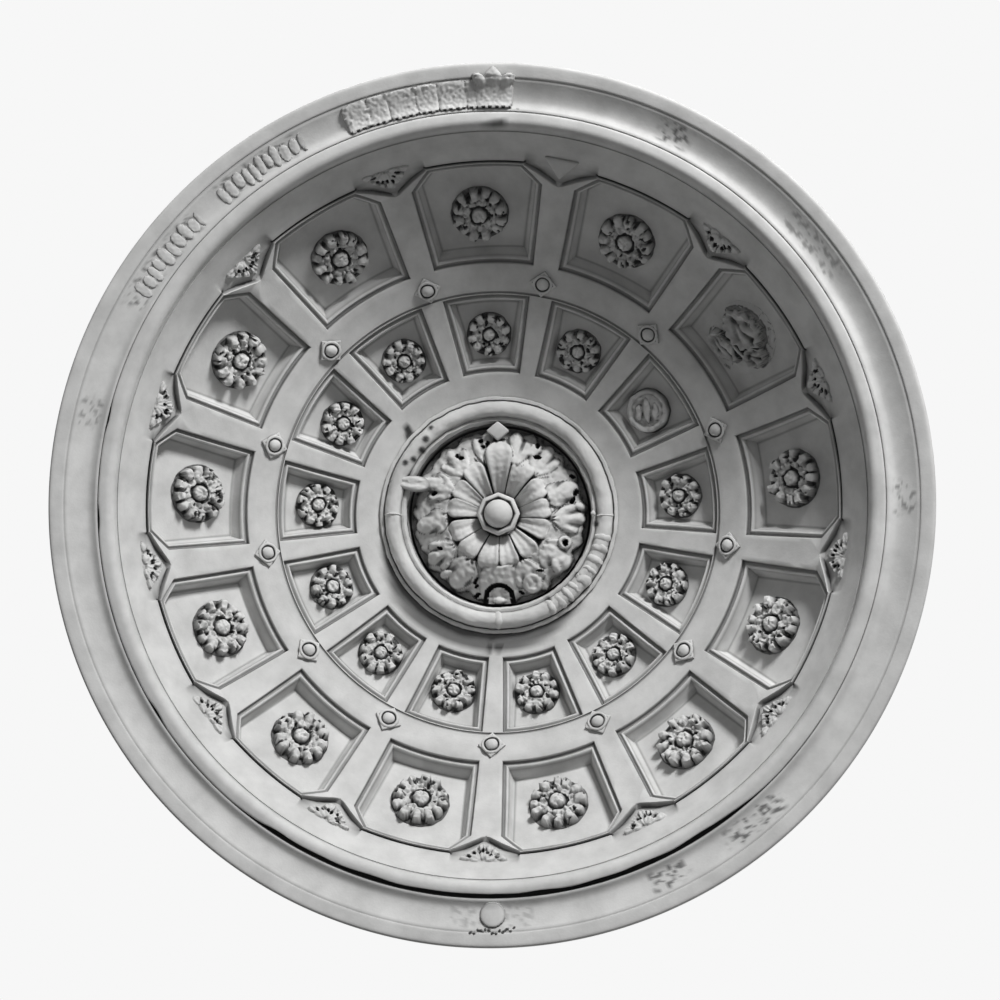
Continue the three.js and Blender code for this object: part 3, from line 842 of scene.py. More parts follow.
class Relief:
    """Heights, and darkness of dirt and painted shade, over a set of points, built up lobe by lobe; the highest lobe
    shows.
    """

    def __init__(self, x, y, floor, dirt_and_shade=0.0):
        self.x, self.y = x, y
        self.z = np.full(x.shape, float(floor))
        self.dirt_and_shade = np.full(x.shape, float(dirt_and_shade))

    def put(self, inside, height, dirt_and_shade):
        shows = inside & (height > self.z)
        self.z = np.where(shows, height, self.z)
        self.dirt_and_shade = np.where(shows, dirt_and_shade, self.dirt_and_shade)

    def sink(self, inside, height, dirt_and_shade):
        """Sets the points inside to a height and a darkness of dirt and painted shade, high or low."""
        self.z = np.where(inside, height, self.z)
        self.dirt_and_shade = np.where(inside, dirt_and_shade, self.dirt_and_shade)

    def shares(self, place, turn, long, wide):
        """Shares along and across a lobe that points along its turn."""
        x, y = self.x - place[0], self.y - place[1]
        c, s = math.cos(turn), math.sin(turn)
        return (x * c + y * s) / long, (y * c - x * s) / wide

    def lobe(self, place, turn, long, wide, low, rise, taper=0.0, scoop=0.0, slope=0.0, rim=0.7, square=2):
        """A rounded lobe; a taper widens its tip, and a higher square makes it blockier."""
        a, b = self.shares(place, turn, long, wide)
        b = b / np.clip(1 + taper * a, 0.2, 2)
        q = np.abs(a) ** square + np.abs(b) ** square
        dome = np.sqrt(np.clip(1 - q, 0, 1))
        hollow = scoop * np.exp(-7 * b * b) * dome
        # Painted shade darkens the lobe towards its edge, by the share rim
        self.put(q < 1, low + rise * dome + slope * a - hollow, rim * ramp(q, 0.6, 1.0))

    def leaf(self, place, turn, long, wide, low, rise, teeth, veins):
        """An oval leaf with a toothed edge, a raised rim and slanting veins."""
        a, b = self.shares(place, turn, long, wide)
        q = np.hypot(a, b) / (0.93 + 0.07 * np.cos(teeth * np.arctan2(b, a)))
        rim = np.exp(-((q - 0.84) / 0.1) ** 2)
        vein = np.cos(veins * (np.abs(b) * 2.2 - a * 2.0)) * (1 - ramp(q, 0.6, 0.8))
        mid = np.exp(-(b / 0.1) ** 2) * (1 - ramp(q, 0.7, 0.9))
        height = low + rise * (0.45 * np.sqrt(np.clip(1 - q, 0, 1)) + 0.5 * rim + 0.14 * vein - 0.25 * mid)
        # Painted shade along the edge, in the veins and down the middle
        dirt_and_shade = np.maximum(0.9 * ramp(q, 0.9, 1.0), np.maximum(0.45 * ramp(-vein, 0.1, 1.0), 0.6 * mid))
        self.put(q < 1, height, dirt_and_shade)

    def fan(self, place, turn, long, wide, low, rise, lobes):
        """A broad leaf whose lobes fan out from its root, with dark slits between them."""
        a, b = self.shares(place, turn, long, wide)
        spread = np.arctan2(b * wide / long, a + 1.15)
        ridge = np.cos(spread * lobes * math.pi / 1.25 + (math.pi if lobes % 2 == 0 else 0))
        q = np.hypot(a, b) / (0.90 + 0.10 * ridge)
        outer = ramp(a + np.abs(b) * 0.5, -0.25, 0.45)
        height = low + rise * (0.8 * np.sqrt(np.clip(1 - q * q, 0, 1)) + 0.3 * ridge * outer)
        # Painted shade along the edge and in the slits between the lobes
        dirt_and_shade = np.maximum(0.85 * ramp(q, 0.86, 1.0), 0.9 * ramp(-ridge, 0.35, 0.95) * outer)
        self.put(q < 1, height, dirt_and_shade)

    def ringlet(self, place, radius, low, rise):
        """A curl: a raised ring, darkened with painted shade at its edge and in its middle."""
        d = np.hypot(self.x - place[0], self.y - place[1]) / radius
        wall = np.sqrt(np.clip(1 - ((d - 0.68) / 0.32) ** 2, 0, 1))
        self.put(d < 1, low + rise * wall, np.maximum(0.8 * ramp(d, 0.88, 1.0), 0.9 * ramp(0.5 - d, 0.0, 0.2)))

    def speck(self, place, long, wide, turn, high):
        """A spot of dirt, hardly raised."""
        a, b = self.shares(place, turn, long, wide)
        q = a * a + b * b
        self.put(q < 1, high * (1.2 - q), 1.0 - 0.5 * ramp(q, 0.4, 1.0))

    def roughen(self, depth, grain, seed):
        """Grainy wear of the raised parts."""
        shift = Vector((seed * 1.3, seed * 2.9, 0))
        rough = [noise.noise(Vector((x, y, 0)) / grain + shift) for x, y in zip(self.x, self.y)]
        self.z = self.z + depth * np.array(rough)
        self.dirt_and_shade = np.clip(self.dirt_and_shade + 0.5 * ramp(-np.array(rough), 0.3, 0.9) * (self.dirt_and_shade > 0.02), 0, 1)


def ramp(values, start, end):
    """0 up to start, 1 from end on, eased between."""
    t = np.clip((values - start) / (end - start), 0, 1)
    return t * t * (3 - 2 * t)


def carved(name, columns, rows, place, carve, foot, whole=False):
    """A grid, laid out and carved on XY, closed by a foot: its border drawn down, or the whole sheet doubled."""
    deselect()
    bpy.ops.mesh.primitive_grid_add(x_subdivisions=columns, y_subdivisions=rows, size=2)
    block = bpy.context.object
    block.name = block.data.name = name
    flat = np.empty(len(block.data.vertices) * 3)
    block.data.vertices.foreach_get("co", flat)
    x, y = place(flat[0::3], flat[1::3])
    relief = carve(x, y)
    block.data.vertices.foreach_set("co", np.column_stack((x, y, relief.z)).ravel())
    set_dirt_and_shade(block, relief.dirt_and_shade)
    edit(block)
    bpy.ops.mesh.remove_doubles(threshold=MERGE)
    if whole:
        bpy.ops.mesh.extrude_region_move()
        shape_selected(lambda co: Vector((co.x, co.y, foot)))
    else:
        bpy.ops.mesh.select_all(action="DESELECT")
        bpy.ops.mesh.select_mode(type="EDGE")
        bpy.ops.mesh.select_non_manifold()
        bpy.ops.mesh.extrude_edges_move()
        shape_selected(lambda co: Vector((co.x, co.y, foot)))
        bpy.ops.mesh.edge_face_add()
        bpy.ops.mesh.select_mode(type="VERT")
    bpy.ops.mesh.select_all(action="SELECT")
    bpy.ops.mesh.normals_make_consistent(inside=False)
    leave_edit()
    return block


def round_plan(radius):
    """Lays a grid out as a disc."""
    def place(u, v):
        r = radius * (v + 1) / 2
        return r * np.cos(np.pi * u), r * np.sin(np.pi * u)
    return place


def toward(azimuth, r):
    """Place on a plan seen from below, azimuth clockwise from the top."""
    a = math.radians(azimuth)
    return r * math.sin(a), r * math.cos(a)


# Flowers of the coffers; their foot stands this far off the coffer's floor

FLOWER_FOOT = 0.0003
OUTER_HEIGHT = 0.029
OUTER_ODD_HEIGHT = 0.030
INNER_HEIGHT = 0.025

# Leaves of the odd outer flower as place, added turn, length, width, low, rise, teeth and veins
ODD_TURN = math.radians(190)
ODD_LEAVES = (((0.16, -0.26), 0.0, 0.80, 0.56, 0.30, 0.90, 13, 3.0),
              ((0.16, 0.62), 0.0, 0.66, 0.32, 0.30, 0.80, 5, 1.6),
              ((-0.72, -0.06), 0.6, 0.38, 0.36, 0.25, 0.75, 7, 2.4))
STROKE_TURN = 2.6
STROKES = ((-0.38, 0.05, 0.40), (0.0, -0.02, 0.60), (0.38, 0.04, 0.42))


def model_rosette(name, radius, petals, height, seed):
    """Worn flower like a cogwheel: blunt petals, some of them broken, a crumbled inner ring and a round button."""
    rng = random.Random(seed)

    def carve(x, y):
        # Painted shade on the floor between petals, at the lobes' rims, in the moat and in the pierced holes
        relief = Relief(x, y, height * 0.06, 0.8)
        relief.lobe((0, 0), 0, radius * 0.74, radius * 0.74, height * 0.42, height * 0.14, rim=0.5)
        for i in range(petals):
            a = 2 * math.pi * (i + rng.uniform(-0.16, 0.16)) / petals
            reach = radius * rng.uniform(0.91, 0.985)
            middle, half = (reach + radius * 0.55) / 2, (reach - radius * 0.55) / 2
            wide = math.pi * radius * 0.80 / petals * rng.uniform(0.58, 0.78)
            low = height * (rng.uniform(0.56, 0.72) if rng.random() > 0.12 else 0.40)
            relief.lobe(on_circle(middle, a), a, half, wide, low, height * 0.22, taper=0.2, rim=0.55, square=3)
        for r, count in ((0.54, petals), (0.41, petals - 4)):
            for i in range(count):
                a = 2 * math.pi * (i + 0.5 + rng.uniform(-0.35, 0.35)) / count
                spot = radius * (r + rng.uniform(-0.06, 0.06))
                relief.lobe(on_circle(spot, a), a, radius * rng.uniform(0.06, 0.12), radius * rng.uniform(0.05, 0.10),
                            height * rng.uniform(0.48, 0.58), height * 0.16, rim=0.6)
        for _ in range(18):
            a, spot = rng.uniform(0, 6.28), radius * rng.uniform(0.36, 0.95)
            pierce(relief, on_circle(spot, a), a + rng.uniform(-0.8, 0.8), radius * rng.uniform(0.05, 0.11),
                   radius * rng.uniform(0.03, 0.06), height * 0.22)
        moat = np.abs(np.hypot(x, y) / radius - 0.30 - 0.03 * np.sin(3 * np.arctan2(y, x) + seed)) < 0.05
        relief.sink(moat, np.minimum(relief.z, height * 0.30), 0.75)
        relief.lobe((0, 0), 0, radius * 0.25, radius * 0.25, height * 0.58, height * 0.30, rim=0.5, square=2.4)
        relief.roughen(height * 0.17, radius * 0.11, seed)
        return relief

    return carved(name, petals * 8, 28, round_plan(radius * 0.985), carve, FLOWER_FOOT)


def model_leaf_cluster(name, radius, height):
    """Odd flower of three toothed leaves: a large one, a long one beside it and a small round one."""
    def carve(x, y):
        relief = Relief(x, y, 0.0006)
        for (across, along), added, long, wide, low, rise, teeth, veins in ODD_LEAVES:
            place, lean = (radius * across, radius * along), ODD_TURN + added
            # A plate under each leaf, darkened at its rim with painted shade
            relief.lobe(place, lean, radius * long * 1.08, radius * wide * 1.12, 0.0008, 0.0008, rim=0.8)
            relief.leaf(place, lean, radius * long, radius * wide, height * low, height * rise, teeth, veins)
        relief.lobe((-radius * 0.26, radius * 0.24), ODD_TURN, radius * 0.5, radius * 0.06,
                    height * 0.45, height * 0.3)
        relief.roughen(height * 0.10, radius * 0.13, 6)
        return relief

    return carved(name, 120, 40, round_plan(radius * 1.14), carve, FLOWER_FOOT)


def model_leaf_disc(name, radius, height):
    """Odd flower: a round leaf with a curled rim and strokes across it."""
    def carve(x, y):
        # Painted shade on the floor and at the rims of the leaf and its curl
        relief = Relief(x, y, height * 0.12, 0.9)
        relief.lobe((0, 0), 0, radius * 0.96, radius * 0.92, height * 0.3, height * 0.2, rim=0.9)
        r = np.hypot(x, y) / radius
        rim = np.sqrt(np.clip(1 - ((r - 0.82) / 0.13) ** 2, 0, 1)) * (0.65 + 0.35 * np.cos(np.arctan2(y, x) - 2.2))
        relief.put(rim > 0.05, height * (0.42 + 0.45 * rim), 0.7 * ramp(-rim, -0.4, -0.1))
        for across, along, long in STROKES:
            place = Matrix.Rotation(STROKE_TURN, 2) @ Vector((radius * along, radius * across))
            relief.lobe(place, STROKE_TURN, radius * long, radius * 0.16, height * 0.45, height * 0.40, rim=0.7)
        relief.roughen(height * 0.2, radius * 0.2, 8)
        return relief

    return carved(name, 88, 28, round_plan(radius), carve, FLOWER_FOOT)


# Leaves and blocks of the ribs

def add_lump(place, half, turn=0.0, segments=10, rings=7):
    """Adds a rounded lump, half sizes along its own axes, turned about Z, and leaves it selected."""
    bpy.ops.mesh.select_all(action="DESELECT")
    bpy.ops.mesh.primitive_uv_sphere_add(
        segments=segments, ring_count=rings, radius=1, location=place, rotation=(0, 0, turn), scale=half)


def new_work(name):
    """An empty mesh, open in edit mode."""
    obj = mesh_object(name, [])
    edit(obj)
    return obj


# Button plate: its side, the steps of its face, and the radii of its groove and moat, both darkened with painted shade
BUTTON_SIDE = 0.0415
BUTTON_STEPS = ((0.0012, 0.0008), (0.0030, 0.0), (0.0010, -0.0028))
BUTTON_GROOVE = 0.0150
BUTTON_MOAT = 0.0228


def button_shade(co):
    """Painted shade in the groove round the button, in the moat and along the plate's foot."""
    r = math.hypot(co.x, co.y)
    groove = smooth(1 - abs(r - BUTTON_GROOVE) / 0.0022) if co.z < 0.0115 else 0.0
    moat = 0.9 * smooth(1 - abs(r - BUTTON_MOAT) / 0.003) if co.z < 0.0065 else 0.0
    edge = 0.7 if co.z < 0.0035 else 0.0
    return max(groove, moat, edge)


def model_button(name):
    """Diamond plate on a rib crossing, with a ringed button in its middle."""
    button = new_work(name)
    bpy.ops.mesh.primitive_cube_add(size=1, location=(0, 0, 0.0015), rotation=(0, 0, math.radians(45)),
                                    scale=(BUTTON_SIDE, BUTTON_SIDE, 0.009))
    work = bmesh.from_edit_mesh(button.data)
    top = max(f.calc_center_median().z for f in work.faces)
    for face in work.faces:
        face.select_set(face.calc_center_median().z > top - 1e-6)
    bmesh.update_edit_mesh(button.data)
    bpy.ops.mesh.select_mode(type="FACE")
    for thickness, depth in BUTTON_STEPS:
        bpy.ops.mesh.inset(thickness=thickness, depth=depth)
    bpy.ops.mesh.select_mode(type="VERT")
    add_lump((0, 0, 0.003), (0.0140, 0.0140, 0.0130), segments=18, rings=12)
    bpy.ops.mesh.select_all(action="DESELECT")
    bpy.ops.mesh.primitive_torus_add(major_segments=28, minor_segments=10, major_radius=0.0186, minor_radius=0.0036,
                                     location=(0, 0, 0.0062))
    leave_edit()
    close_up(button, FINE_MERGE)
    set_dirt_and_shade(button, [button_shade(v.co) for v in button.data.vertices])
    return button


# Leaf spray, seen on its own plane; rows of lobes as count, spread and reach
SPANDREL_ROWS = ((7, 74, 0.040), (5, 60, 0.020))
SPANDREL_TIP = 0.026
SPANDREL_BASE = -0.028
SPANDREL_HALF = 0.064


def model_spandrel(name, seed):
    """Worn leaf spray in the sunk corner below a rib: a low shell of lobes, pierced between them."""
    rng = random.Random(seed)
    lean = rng.uniform(-0.006, 0.006)

    def plan(u, v):
        share = (v + 1) / 2
        foot = SPANDREL_BASE - 0.005 * (1 - u * u)
        return u * mix(SPANDREL_HALF, 0.003, share ** 0.9) + lean * (1 - share), mix(foot, SPANDREL_TIP, share)

    def from_root(turn, far):
        return lean + far * math.sin(turn), SPANDREL_BASE + 0.002 + far * math.cos(turn)

    def carve(x, y):
        # Light painted shade on the floor; the slits below are sunk and painted black as shade
        relief = Relief(x, y, 0.0085, 0.2)
        for count, spread, reach in SPANDREL_ROWS:
            for i in range(count):
                turn = math.radians(mix(-spread, spread, i / (count - 1)) + rng.uniform(-6, 6))
                spot = from_root(turn, reach * rng.uniform(0.88, 1.08))
                relief.lobe(spot, math.pi / 2 - turn, rng.uniform(0.0095, 0.0135), rng.uniform(0.0065, 0.0090),
                            rng.uniform(0.0090, 0.0120), 0.0048, taper=0.3, scoop=0.0026, rim=0.4)
        for k in range(7):
            turn = math.radians(mix(-62, 62, k / 6) + rng.uniform(-8, 8))
            spot = from_root(turn, rng.uniform(0.024, 0.034))
            long, wide = rng.uniform(0.0035, 0.0065), rng.uniform(0.0022, 0.0034)
            a, b = relief.shares(spot, math.pi / 2 - turn, long, wide)
            relief.sink(a * a + b * b < 1, 0.005, 1.0)
        relief.roughen(0.0016, 0.007, seed)
        return relief

    return carved(name, 64, 32, plan, carve, -0.0015)


def model_plain_spandrel(name):
    """Plain three-cornered block, its edges bevelled."""
    block = new_work(name)
    bpy.ops.mesh.primitive_cylinder_add(vertices=3, radius=0.034, depth=0.017, location=(0, -0.008, 0.007))
    bpy.ops.transform.resize(value=(1.25, 0.95, 1), center_override=(0, 0, 0))
    bpy.ops.mesh.bevel(offset=0.003, segments=2, affect="EDGES")
    leave_edit()
    close_up(block, FINE_MERGE)
    return block


# Crown flower

# Reach of each petal from the flower's middle, clockwise from the top
PETAL_ROOT = 0.043
CROWN_RADIUS = 0.193
PETAL_REACH = (0.160, 0.134, 0.122, 0.118, 0.120, 0.118, 0.122, 0.124, 0.120, 0.116, 0.114, 0.118, 0.128)


def add_crown_petals(relief):
    """Cupped petals round the collar, folded between, their tips curling over."""
    rng = random.Random(5)
    r, azimuth = np.hypot(relief.x, relief.y), np.degrees(np.arctan2(relief.x, relief.y))
    petals = sizes().crown_petals
    for i in range(petals):
        middle = 360 * i / petals + rng.uniform(-2.0, 2.0)
        reach = PETAL_REACH[i % len(PETAL_REACH)]
        s = ((azimuth - middle + 180) % 360 - 180) / (180 / petals)
        t = (r - PETAL_ROOT) / (reach - PETAL_ROOT)
        wide = rng.uniform(0.95, 1.02) * np.sqrt(np.clip(1 - np.clip((t - 0.70) / 0.30, 0, 1) ** 2, 0.0004, 1))
        q = np.abs(s) / wide
        cup = 0.046 + rng.uniform(0.038, 0.044) * np.sin(np.clip(t / 0.70, 0, 1.4) * math.pi / 2)
        curl = rng.uniform(0.006, 0.012) * ramp(t, 0.80, 1.05)
        fold = 0.0058 * np.clip(q, 0, 1.2) ** 2 - 0.010 * np.clip(q, 0, 1.2) ** 12 + 0.0008 * np.cos(8.4 * s + i)
        # Painted shade along the folds between petals, and the collar's painted shadow on their roots
        dirt_and_shade = np.maximum(0.95 * ramp(q, 0.90, 1.0), 0.7 * ramp(0.12 - t, 0.0, 0.12))
        relief.put((t > 0) & (t < 1) & (q < 1), cup - curl + fold, dirt_and_shade)


def crown_swell(r):
    """Height of the leaf mass: highest just under the petals' tips, falling away to the eye's wall."""
    swell = 0.040 + 0.042 * np.clip((0.190 - r) / 0.080, 0, 1)
    return swell - 0.05 * ramp(0.116 - r, 0.0, 0.022)


def add_crown_leaf(relief, azimuth, rng):
    """A broad leaf with fanned lobes, turned and sized a little by chance."""
    turn = math.radians(90 - azimuth + rng.uniform(-14, 14))
    low = crown_swell(np.hypot(relief.x, relief.y)) + rng.uniform(-0.003, 0.005)
    relief.fan(toward(azimuth, rng.uniform(0.142, 0.152)), turn, rng.uniform(0.036, 0.044), rng.uniform(0.030, 0.040),
               low, 0.011, rng.choice((3, 5, 5)))


def pierce(relief, place, turn, long, wide, deep):
    """A hole between leaves, painted black as shade."""
    a, b = relief.shares(place, turn, long, wide)
    relief.sink(a * a + b * b < 1, relief.z - deep, 1.0)


def add_crown_arch(relief):
    """Arch over a bead at the bottom, its groove painted black as shade."""
    swell = crown_swell(np.hypot(relief.x, relief.y))
    relief.lobe((0, -0.150), math.pi / 2, 0.043, 0.044, swell + 0.002, 0.005, rim=0.4, square=2.6)
    x, y = relief.x, -relief.y - 0.182
    d = np.where(y > 0, np.abs(x), np.hypot(x, y)) - 0.030
    near = np.hypot(x, y) < 0.05
    relief.put(near & (d < 0), swell + 0.008, 0.3 + 0 * d)
    relief.sink(near & (np.abs(d) < 0.0046), 0.022, 1.0)
    relief.lobe((0, -0.1845), 0, 0.0145, 0.0080, 0.050, 0.010, rim=0.4)


# Small leaves and curls of the crown as azimuth, distance from the middle and sizes
SMALL_LEAVES = ((132, 0.166, 0.017, 0.010), (238, 0.166, 0.015, 0.009), (208, 0.150, 0.026, 0.012),
                (222, 0.172, 0.015, 0.009), (84, 0.176, 0.013, 0.009), (28, 0.160, 0.020, 0.013))
CURLS = ((154, 0.165, 0.022, 0.009), (113, 0.155, 0.015, 0.008))


def crown_relief(x, y):
    """Leaves, curls, arch and petals of the crown, over the eye's floor, darkened with painted shade."""
    relief = Relief(x, y, 0.028, 0.45)
    rng = random.Random(17)
    r, azimuth = np.hypot(x, y), np.arctan2(x, y)
    edge = 0.1840 + 0.0050 * np.cos(17 * azimuth) + 0.0035 * np.cos(29 * azimuth + 1)
    # Painted shade darkens the leaf mass towards its edge
    relief.put(r < edge, crown_swell(r), 0.15 + 0.5 * ramp(r / edge, 0.955, 1.0))
    petals = sizes().crown_petals
    for i in range(petals):
        middle = 360 * (i + 0.5) / petals + rng.uniform(-5, 5)
        if not 165 < middle < 195:
            add_crown_leaf(relief, middle, rng)
    for middle, far, long, wide in SMALL_LEAVES:
        relief.lobe(toward(middle, far), math.radians(60 - middle), long, wide, crown_swell(r) + 0.004, 0.009, rim=0.5)
    for middle, far, radius, rise in CURLS:
        relief.ringlet(toward(middle, far), radius, crown_swell(r) + 0.003, rise)
    add_crown_arch(relief)
    for _ in range(22):
        middle = rng.uniform(0, 360)
        pierce(relief, toward(middle, rng.uniform(0.146, 0.180)), math.radians(90 - middle) + rng.uniform(-1, 1),
               rng.uniform(0.004, 0.008), rng.uniform(0.0025, 0.0045), 0.022)
    relief.roughen(0.0026, 0.011, 3)
    add_crown_petals(relief)
    relief.lobe((-0.150, 0.070), -0.10, 0.046, 0.0130, 0.066, 0.009, taper=0.35, scoop=0.002, rim=0.7)
    relief.roughen(0.0010, 0.008, 4)
    return relief


# Collar under the crown's ball as radius and distance below the eye's floor
COLLAR = ((0.020, 0.030), (0.034, 0.030), (0.036, 0.062), (0.0455, 0.078), (0.0470, 0.086), (0.0458, 0.0925),
          (0.0415, 0.0955), (0.0368, 0.0955), (0.0340, 0.091), (0.020, 0.080))


def crown_ball():
    """Ball in an eight-sided collar on a short neck, and the pointed stone at the top of the flower."""
    floor = EYE["floor"]
    ball = new_work("crown_ball")
    add_lump((0, 0, floor - 0.088), (0.0312, 0.0312, 0.0300), segments=32, rings=20)
    leave_edit()
    stone = new_work("crown_stone")
    bpy.ops.mesh.primitive_cube_add(size=1, rotation=(0, 0, math.radians(45)), scale=(0.036, 0.036, 0.016))
    bpy.ops.transform.resize(value=(1, 0.84, 1), center_override=(0, 0, 0))
    bpy.ops.transform.translate(value=(-0.002, -0.1815, floor - 0.072))
    bpy.ops.mesh.bevel(offset=0.003, segments=2, affect="EDGES")
    leave_edit()
    close_up(stone, FINE_MERGE)
    collar = turned("crown_collar", [(r, floor - down) for r, down in COLLAR], 8)
    apply_modifier(collar, "BEVEL", width=0.0016, segments=2, limit_method="ANGLE", angle_limit=math.radians(30))
    # Painted shade under the collar, on its neck
    set_dirt_and_shade(collar, [0.8 * smooth((0.040 - math.hypot(v.co.x, v.co.y)) / 0.004) for v in collar.data.vertices])
    return join("crown_ball", [ball, collar, stone])


def medallion_flower():
    flower = carved("crown_leaves", 360, 104, round_plan(CROWN_RADIUS), crown_relief, -0.004)
    flower.data.transform(Matrix.Translation((0, 0, EYE["floor"])) @ Matrix.Rotation(math.pi, 4, "X"))
    return join("medallion_flower", [flower, crown_ball()])


# Ring round the crown

# Radii of the ring's seat, middle and roll, the patched stretch, and bands across it as azimuth and half width
RING_SEAT = 0.258
RING_MIDDLE = 0.229
RING_ROLL = 0.0172
RING_PATCH = (100.0, 152)
RING_BANDS = ((180, 0.015), (91, 0.005), (270, 0.004))


def ring_section():
    """Quirk, roll and fillet, seated on the ribs' sphere."""
    inner, outer = bowl_section(tilt_at(EYE["r"]), -0.0003), bowl_section(tilt_at(RING_SEAT), -0.0003)
    share = (RING_MIDDLE - inner[0]) / (outer[0] - inner[0])
    r, z, roll = RING_MIDDLE, mix(inner[1], outer[1], share) - 0.016, RING_ROLL
    return [inner, (inner[0] + 0.0015, z + 0.004), (inner[0] + 0.005, z - 0.002), (r - roll - 0.0005, z - 0.0015),
            *arc(r, z, roll, 180, 345, 20), (r + roll + 0.0008, z + 0.0045), (outer[0] - 0.008, outer[1] - 0.0085),
            (outer[0] - 0.0035, outer[1] - 0.0086), (outer[0] - 0.0010, outer[1] - 0.007), outer,
            (mix(inner[0], outer[0], 0.5), mix(inner[1], outer[1], 0.5))]


def ring_top():
    return RING_MIDDLE, min(z for r, z in ring_section())


def ring_wing():
    """Hollowed leaf of the flower whose tip lies across the ring."""
    def plan(u, v):
        reach = (v + 1) / 2
        along, across = np.cos(np.pi * u), np.sin(np.pi * u)
        return 0.044 * reach * along, 0.0165 * reach * across * (1 + 0.35 * along)

    def carve(x, y):
        relief = Relief(x, y, 0.002, 0.6)
        relief.lobe((0, 0), 0, 0.0435, 0.0162, 0.004, 0.010, taper=0.35, scoop=0.004, rim=0.6)
        relief.roughen(0.0012, 0.006, 7)
        return relief

    wing = carved("ring_wing", 64, 14, plan, carve, -0.004)
    place = Matrix.Translation((-0.192, -0.068, ring_top()[1] + 0.013)) @ Matrix.Rotation(0.1, 4, "Z")
    wing.data.transform(place @ Matrix.Rotation(math.pi, 4, "X"))
    return wing


# Black spots painted along the ring as shaded holes, as azimuth, radius and size
RING_SPOTS = ((-50, 0.216, 0.007), (-57, 0.219, 0.006), (-44, 0.226, 0.007), (-61, 0.230, 0.006), (96, 0.211, 0.006),
              (128, 0.214, 0.006), (140, 0.245, 0.005), (150, 0.213, 0.007), (-38, 0.238, 0.005))


def ring_shade(co):
    """Painted shade in the quirks on both sides of the roll, and painted black in the holes."""
    r = math.hypot(co.x, co.y)
    quirk = smooth(1 - abs(r - RING_MIDDLE - RING_ROLL - 0.0008) / 0.003) * 0.35
    inside = smooth(1 - abs(r - RING_MIDDLE + RING_ROLL - 0.0005) / 0.003) * 0.5
    spots = [smooth(1.6 - (co - polar(far, azimuth, co.z)).length / wide) for azimuth, far, wide in RING_SPOTS]
    return max(quirk, inside, *spots)


def medallion_ring():
    ring = turned("medallion_ring", ring_section(), 312)
    weather(ring, 0.0016, 0.024, 2)
    weather(ring, 0.0009, 0.007, 5)
    set_dirt_and_shade(ring, [ring_shade(v.co) for v in ring.data.vertices])
    r, top = ring_top()
    roll = RING_ROLL
    trim = new_work("ring_trim")
    rng = random.Random(11)
    azimuth, end = RING_PATCH
    while azimuth < end:
        step = rng.uniform(4.0, 8.5)
        place = polar(r + rng.uniform(-0.001, 0.002), azimuth + step / 2, top + roll * rng.uniform(0.62, 0.76))
        add_lump(place, (roll * rng.uniform(0.98, 1.14), 0.0041 * step * 0.5, roll * 0.86),
                 turn=math.radians(azimuth - 90), segments=14, rings=9)
        azimuth += step
    for azimuth, wide in RING_BANDS:
        place = polar(r, azimuth, top + roll * 0.88)
        add_lump(place, (roll * 1.14, wide, roll * 1.06), turn=math.radians(azimuth - 90), segments=16, rings=9)
    add_lump(polar(0.204, 90, top + roll * 0.4), (0.006, 0.006, 0.007))
    leave_edit()
    close_up(trim, FINEST_MERGE)
    weather(trim, 0.003, 0.012, 3)
    return join("medallion_ring", [ring, trim, ring_wing()])


# Cornice

# Cove and roll of the cornice's underside, and its leaf bands as azimuths and height, the bold one first
COVE = {"from": 0.8065, "to": 0.8640, "face": -0.0380, "hollow": 0.0058, "fall": 0.0190, "deepest": 0.28}
COVE_MIDDLE = 0.836
ROLL_EDGE = 0.8688
ROLL = ((0.8672, -0.0516), (0.8682, -0.0520), (ROLL_EDGE, -0.0536), (0.8698, -0.0548), (0.8720, -0.0557),
        (0.8760, -0.0568), (0.8810, -0.0582), (0.8860, -0.0595), (0.8905, -0.0605), (0.8940, -0.0609),
        (0.8965, -0.0601), (0.8984, -0.0576), (0.8994, -0.0530), (0.8997, -0.0440))
LEAF_BANDS = ((-20.9, -1.6, 0.0085), (-41.8, -27.2, 0.0048), (-59.5, -45.5, 0.0040))
# Smudges where leaves came away, as azimuths and strength
SMUDGES = ((135, 146, 0.8), (151, 158, 0.8), (24, 30, 0.8), (46, 58, 0.5), (280, 286, 0.5), (87, 93, 0.6),
           (-62, -45, 0.7), (-42, -27, 0.7), (173, 186, 0.3))
CORNICE_BACK = 0.859
CORNICE_SEAT = -0.0143
UNDERSIDE = -0.02
# Leaf strips: spacing of their points, their floor, the bands' radii, and the dots along their foot
STRIP_GRID = 0.0022
STRIP_FLOOR = -0.0015
BAND_EDGES = (0.8078, 0.8665)
DOT_PITCH = 0.0145
DOT_EDGE = 0.8120
# Azimuth where the joint's painted shade is darkest, away from the key light
JOINT_SHADE_AT = 195


def cove_z(r):
    """Height of the cove: a short way up from the joint, then a long fall to the roll."""
    share = np.clip((r - COVE["from"]) / (COVE["to"] - COVE["from"]), 0, 1)
    rise = np.sin(np.clip(share / COVE["deepest"], 0, 1) * np.pi / 2)
    fall = np.clip((share - COVE["deepest"]) / (1 - COVE["deepest"]), 0, 1) ** 1.5
    return COVE["face"] + COVE["hollow"] * rise - COVE["fall"] * fall


def cornice_face(r):
    """Height of the cornice's underside, cove and roll."""
    radii, heights = zip((COVE["to"], float(cove_z(COVE["to"]))), *ROLL)
    return float(cove_z(r) if r < COVE["to"] else np.interp(r, radii, heights))


